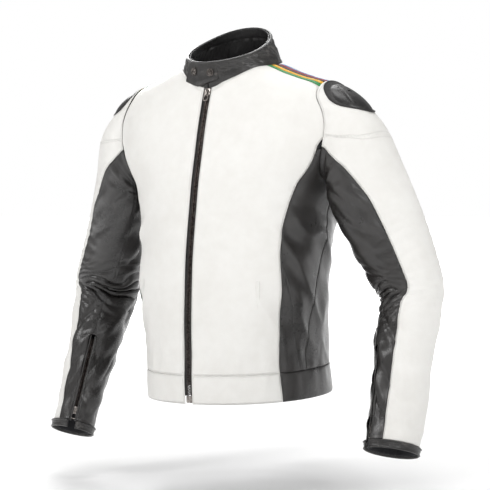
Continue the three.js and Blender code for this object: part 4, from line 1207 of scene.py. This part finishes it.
# ---------------------------------------------------------------- cuffs and their zips
LIP_SECTION = [(2.9, -1.6), (2.6, -0.4), (3.2, 0.7), (4.6, 1.0), (6.4, 0.6), (7.6, -0.2), (7.8, -1.6)]


def surface_height(z):
    """Height of the sleeve's face over the straight line of the cuff zip."""
    near = np.abs(in_zip_frame(black_sleeve.base) - [0, 0, z])
    q = in_zip_frame(black_sleeve.base)
    close = (near[:, 0] < 8) & (near[:, 2] < 8) & (near[:, 1] < 25)
    return float(q[close, 1].mean()) if close.any() else 0.0


def cuff_pieces(side, mirror):
    part = "forearm_%s_part" % side
    flip = 1 if side == "left" else -1
    ring = np.linspace(ROLL_RING - 0.02, 10, 16)[:, None]
    angle = np.linspace(0, 360, 160, endpoint=False)[None, :]
    base = sleeve_at(ring, angle, -0.9)
    coords = np.stack(np.broadcast_arrays(ring, angle), -1)

    def roll(p, c):
        share = (c[..., 0] - ROLL_RING) / (10 - ROLL_RING)
        return -1.7 * np.abs(2 * share - 1) ** 3 + 0.45 * noise(p, 12, 95) - 0.5 * bump(share, 0.3, 0.08)

    sheet = sheet_of(base[:, ::-1], coords[:, ::-1], True, roll).clipped(outside_slot)
    edge = np.abs(outside_slot(sheet)) + 1.2
    points, faces = thickened(mirror(sheet), 2.6)
    obj = mesh_object("cuff_leather_" + side, points, faces, WORN_SHEEN_LEATHER, attributes={"edge": np.tile(edge, 2)})
    dressed(obj, part, ["cuff_band_" + side])

    place = frame_matrix(ZIP_ACROSS * [flip, 1, 1], ZIP_OUT * [flip, 1, 1], ZIP_UP * [flip, 1, 1], ZIP_FOOT
            * [flip, 1, 1])
    top = -4.4
    parts = []
    for sign in (1, -1):
        rows = [[(sign * x, y, z) for x,
                y in ((3.0, top - 0.9), (9.0, top - 0.9), (9.0, top - 1.7),
                        (3.0, top - 1.7))] for z in np.linspace(2, CUFF_ZIP_LENGTH - 2, 40)]
        parts.append(band_mesh(np.array(rows), False))
    points, faces = join_meshes(parts)
    obj = fix_normals(mesh_object("cuff_zip_cloth_" + side, in_frame(place, points), faces, TAPE))
    dressed(obj, part, ["cuff_zip_tape_" + side])
    lips = []
    for sign in (1, -1):
        rows = []
        for z in np.linspace(-10, CUFF_ZIP_LENGTH + 1, 60):
            lift = 0.35 * math.sin(z / 7.0) + surface_height(z)
            rows.append([(sign * x, lift + y, z) for x, y in LIP_SECTION])
        lips.append(band_mesh(np.array(rows), False))
    points, faces = join_meshes(lips)
    obj = fix_normals(mesh_object("cuff_zip_lips_" + side, in_frame(place, points), faces, BLACK,
            attributes={"edge": np.full(len(points), 5.0)}))
    dressed(obj, part, [])
    chains = []
    for sign in (1, -1):
        at = lambda x, depth, s: np.array([x, -depth, s])
        chains.append(teeth(at, 54, 2.6, sign, 0.6, 3.2, -top, -top + 2.3, 4 + (sign > 0) * 1.3))
    points, faces = join_meshes(chains)
    dressed(fix_normals(mesh_object("cuff_zip_chain_" + side, in_frame(place, points), faces, TEETH,
            smooth_shade=False)), part, [])
    bevelled_copy("cuff_slider_metal_" + side, "cuff_zip_slider_" + side, METAL, "cuff_slider_" + side)
    axes, foot = place
    pull("cuff_pull_metal_" + side, "cuff_zip_pull_" + side, (axes, in_frame(place, [0, top, 10])), "cuff_pull_" + side)


both_sides(cuff_pieces)


# ---------------------------------------------------------------- shoulder caps
CAP_OUTLINE = [[199, -10], [213, -25], [233, -25], [256, -10], [276, 18], [262, 46], [236, 60], [208, 52], [196, 30]]


def closed_curve(points, count):
    p = np.asarray(points, float)
    t = np.linspace(0, len(p), count, endpoint=False)
    k = np.floor(t).astype(int)
    w = (t - k)[:, None]
    a, b, c, d = (p[(k + j) % len(p)] for j in (-1, 0, 1, 2))
    return 0.5 * (2 * b + (c - a) * w + (2 * a - 5 * b + 4 * c - d) * w**2 + (3 * b - a - 3 * c + d) * w**3)


def shoulder_caps():
    faces = [[f[0], f[i], f[i + 1]] for f in left_body.faces for i in range(1, len(f) - 1)]
    ground = BVHTree.FromPolygons(left_body.points.tolist(), faces)
    arm = BVHTree.FromPolygons(white_sleeve.points.tolist(), [list(f) for f in white_sleeve.faces])
    outline = closed_curve(CAP_OUTLINE, 120)
    centre = np.array([232.0, 12])
    share = np.linspace(0, 1, 34)[:, None, None] ** 0.85
    flat = centre + (outline - centre) * share
    z = np.empty(flat.shape[:2])
    for i in np.ndindex(z.shape):
        hits = [tree.ray_cast(Vector((*flat[i], 200)), Vector((0, 0, -1)))[0] for tree in (ground, arm)]
        z[i] = max([h.z for h in hits if h is not None] or [-120])
    z = np.maximum(z, -128)
    leather_z = z.copy()
    for step in range(64):
        middle = z[0].mean()
        side = (np.roll(z, 1, 1) + np.roll(z, -1, 1)) / 2
        inward = np.vstack([np.full((1, z.shape[1]), middle), z[:-1]])
        outward = np.vstack([z[1:], z[-1:]])
        z = 0.5 * z + 0.25 * side + 0.125 * (inward + outward)
        if step == 56:
            z = np.maximum(z, leather_z + 0.3)
    base = np.dstack([flat, z])
    normals = grid_normals(base, True)
    normals *= np.sign(normals[..., 2:3] + 1e-9)
    crown = np.array([243.0, 10])
    reach_out = np.linalg.norm(outline - crown, axis=1)
    direction = np.arctan2(flat[..., 1] - crown[1], flat[..., 0] - crown[0])
    rim_direction = np.arctan2(outline[:, 1] - crown[1], outline[:, 0] - crown[0])
    order = np.argsort(rim_direction)
    limit = np.interp(direction, rim_direction[order], reach_out[order], period=2 * np.pi)
    d = np.hypot(flat[..., 0] - crown[0], flat[..., 1] - crown[1]) / limit
    inner_side = np.clip(np.cos(direction - np.radians(200)), 0, 1)
    edge = 0.88 - 0.12 * inner_side
    dome = 6.2 * np.clip(1 - (d / edge) ** 2.0, 0, 1) ** 0.72
    crease = -0.7 * bump(flat[..., 1] + 0.25 * (flat[..., 0] - 236), -2, 1.6) * (d < 0.75 * edge)
    lip = 0.9 * bump(d, 0.985, 0.03)
    height = 1.8 + dome + crease + lip
    flange = smoothstep(d, edge - 0.03, edge + 0.02)
    points = base + normals * height[..., None]
    rows, columns = z.shape
    top = points.reshape(-1, 3)
    under = (base + normals * 0.4).reshape(-1, 3)
    mesh_faces = grid_faces(rows, columns, True)
    count = rows * columns
    faces = mesh_faces + [[i + count for i in f[::-1]] for f in mesh_faces]
    last = (rows - 1) * columns
    faces += [[last + c, last + (c + 1) % columns, last + (c + 1) % columns + count, last + c
            + count] for c in range(columns)]
    all_points = np.vstack([top, under])
    for side, flip in (("left", 1), ("right", -1)):
        attributes = {"flange": np.tile(flange.reshape(-1), 2)}
        obj = mesh_object("shoulder_cap_shell_" + side, all_points * [flip, 1, 1], faces, MOULDED,
                attributes=attributes)
        work = bmesh.new()
        work.from_mesh(obj.data)
        bmesh.ops.remove_doubles(work, verts=work.verts, dist=1e-5)
        bmesh.ops.recalc_face_normals(work, faces=work.faces)
        work.to_mesh(obj.data)
        work.free()
        dressed(obj, "jacket_body", ["shoulder_cap_" + side])


shoulder_caps()


# ---------------------------------------------------------------- linings, pockets and padding
def linings():
    inside = sheet_of(*body_grid(5.6, 200, 6.0, WAIST_Z + 2), True, lambda p, c: 0.5 * noise(p, 40, 111))
    slit = lambda s: np.where(s.base[:, 1] < 0, np.abs(s.base[:, 0]) - 17, 60)
    neck = lambda s: np.where(s.base[:, 2] > -120, (np.hypot(s.base[:, 0] / 88, (s.base[:, 1] - 5) / 71) - 1) * 75, 60)
    inside = inside.clipped(slit).clipped(neck).clipped(lambda s: within_armholes(s) - 1)
    points, faces = thickened(inside, 1.0)
    dressed(mesh_object("lining_body", points, faces, CLOTH), "jacket_body", ["body_lining"])
    everywhere = lambda low: (lambda ring: np.full(np.shape(ring), float(low)))
    for side, flip in (("left", False), ("right", True)):
        for name, first, last, inset, body, node in (
            ("lining_sleeve_", 1.0, 4.9, 5.6, "jacket_body", []),
            ("lining_forearm_", 7.05, 9.94, 2.6, "forearm_%s_part" % side, ["forearm_lining_" + side]),
        ):
            sheet = sleeve_sheet(first, last, everywhere(-110), everywhere(250), 70, 70, inset, None)
            sheet = sheet.clipped(lambda s: armhole_field(s)
                    + 1) if first < 2 else sheet.clipped(lambda s: outside_slot(s) - 4)
            points, faces = thickened(sheet.mirrored() if flip else sheet, 0.9)
            dressed(mesh_object(name + side, points, faces, CLOTH), body, node)


def pocket(side, flip):
    z = np.linspace(-418, -372, 40)
    rows = []
    for x in (119.4, 120.2, 121.2, 121.9, 122.1, 122.8, 123.8, 124.6):
        starts = np.stack([np.full(40, x), np.zeros(40), z], -1)
        distance = reach(lambda d: starts + np.stack([0 * d, -d, 0 * d], -1), 0, 300, 40)
        rows.append(starts[:, 1] - distance)
    proud = np.array([0.35, 1.2, 1.2, 0.2, 0.2, 1.2, 1.2, 0.35])
    fade = smoothstep(z, -418, -414) * (1 - smoothstep(z, -376, -372))
    xs = np.array([119.4, 120.2, 121.2, 121.9, 122.1, 122.8, 123.8, 124.6])
    top = np.stack([np.stack([xs, np.array(rows)[:, i] - 0.3 - proud * (0.3 + 0.7 * fade[i]),
            np.full(8, z[i])], -1) for i in range(40)])
    low = top.copy()[:, ::-1]
    low[..., 1] = np.array(rows).T[:, ::-1] - 0.25
    sections = np.concatenate([top, low], 1) * [flip, 1, 1]
    swept("pocket_lips_" + side, sections, False, WHITE, "jacket_body", ["pocket_welt_" + side])


linings()
pocket("left", 1)
pocket("right", -1)


PAD_RINGS = (7.15, 8.3)
PAD_ANGLES = (-70, 30)
PAD_INSET = 3.9
PAD_THICKNESS = 3.2


def elbow_pad(side, mirror):
    """A foam pad, crowned in the middle, with a grid of pressed channels. Its grid faces out."""
    ring = np.linspace(*PAD_RINGS, 60)[:, None]
    angle = np.linspace(*PAD_ANGLES, 60)[None, :]
    base = sleeve_at(ring, angle, PAD_INSET)
    coords = np.stack(np.broadcast_arrays(ring, angle), -1)

    def face(p, c):
        across = (c[..., 1] - sum(PAD_ANGLES) / 2) / ((PAD_ANGLES[1] - PAD_ANGLES[0]) / 2)
        along = (c[..., 0] - sum(PAD_RINGS) / 2) / ((PAD_RINGS[1] - PAD_RINGS[0]) / 2)
        channels = np.minimum(np.abs(np.sin(across * 7)), np.abs(np.sin(along * 7)))
        return -1.6 * np.maximum(np.abs(across), np.abs(along)) ** 6 - 0.5 * np.exp(-channels * 9)

    points, faces = thickened(mirror(sheet_of(base, coords, False, face)), PAD_THICKNESS)
    name = "elbow_protector_" + side
    pad = mesh_object("elbow_pad_" + side, points, faces, FOAM)
    dressed(pad, "forearm_%s_part" % side, [name])


both_sides(elbow_pad)
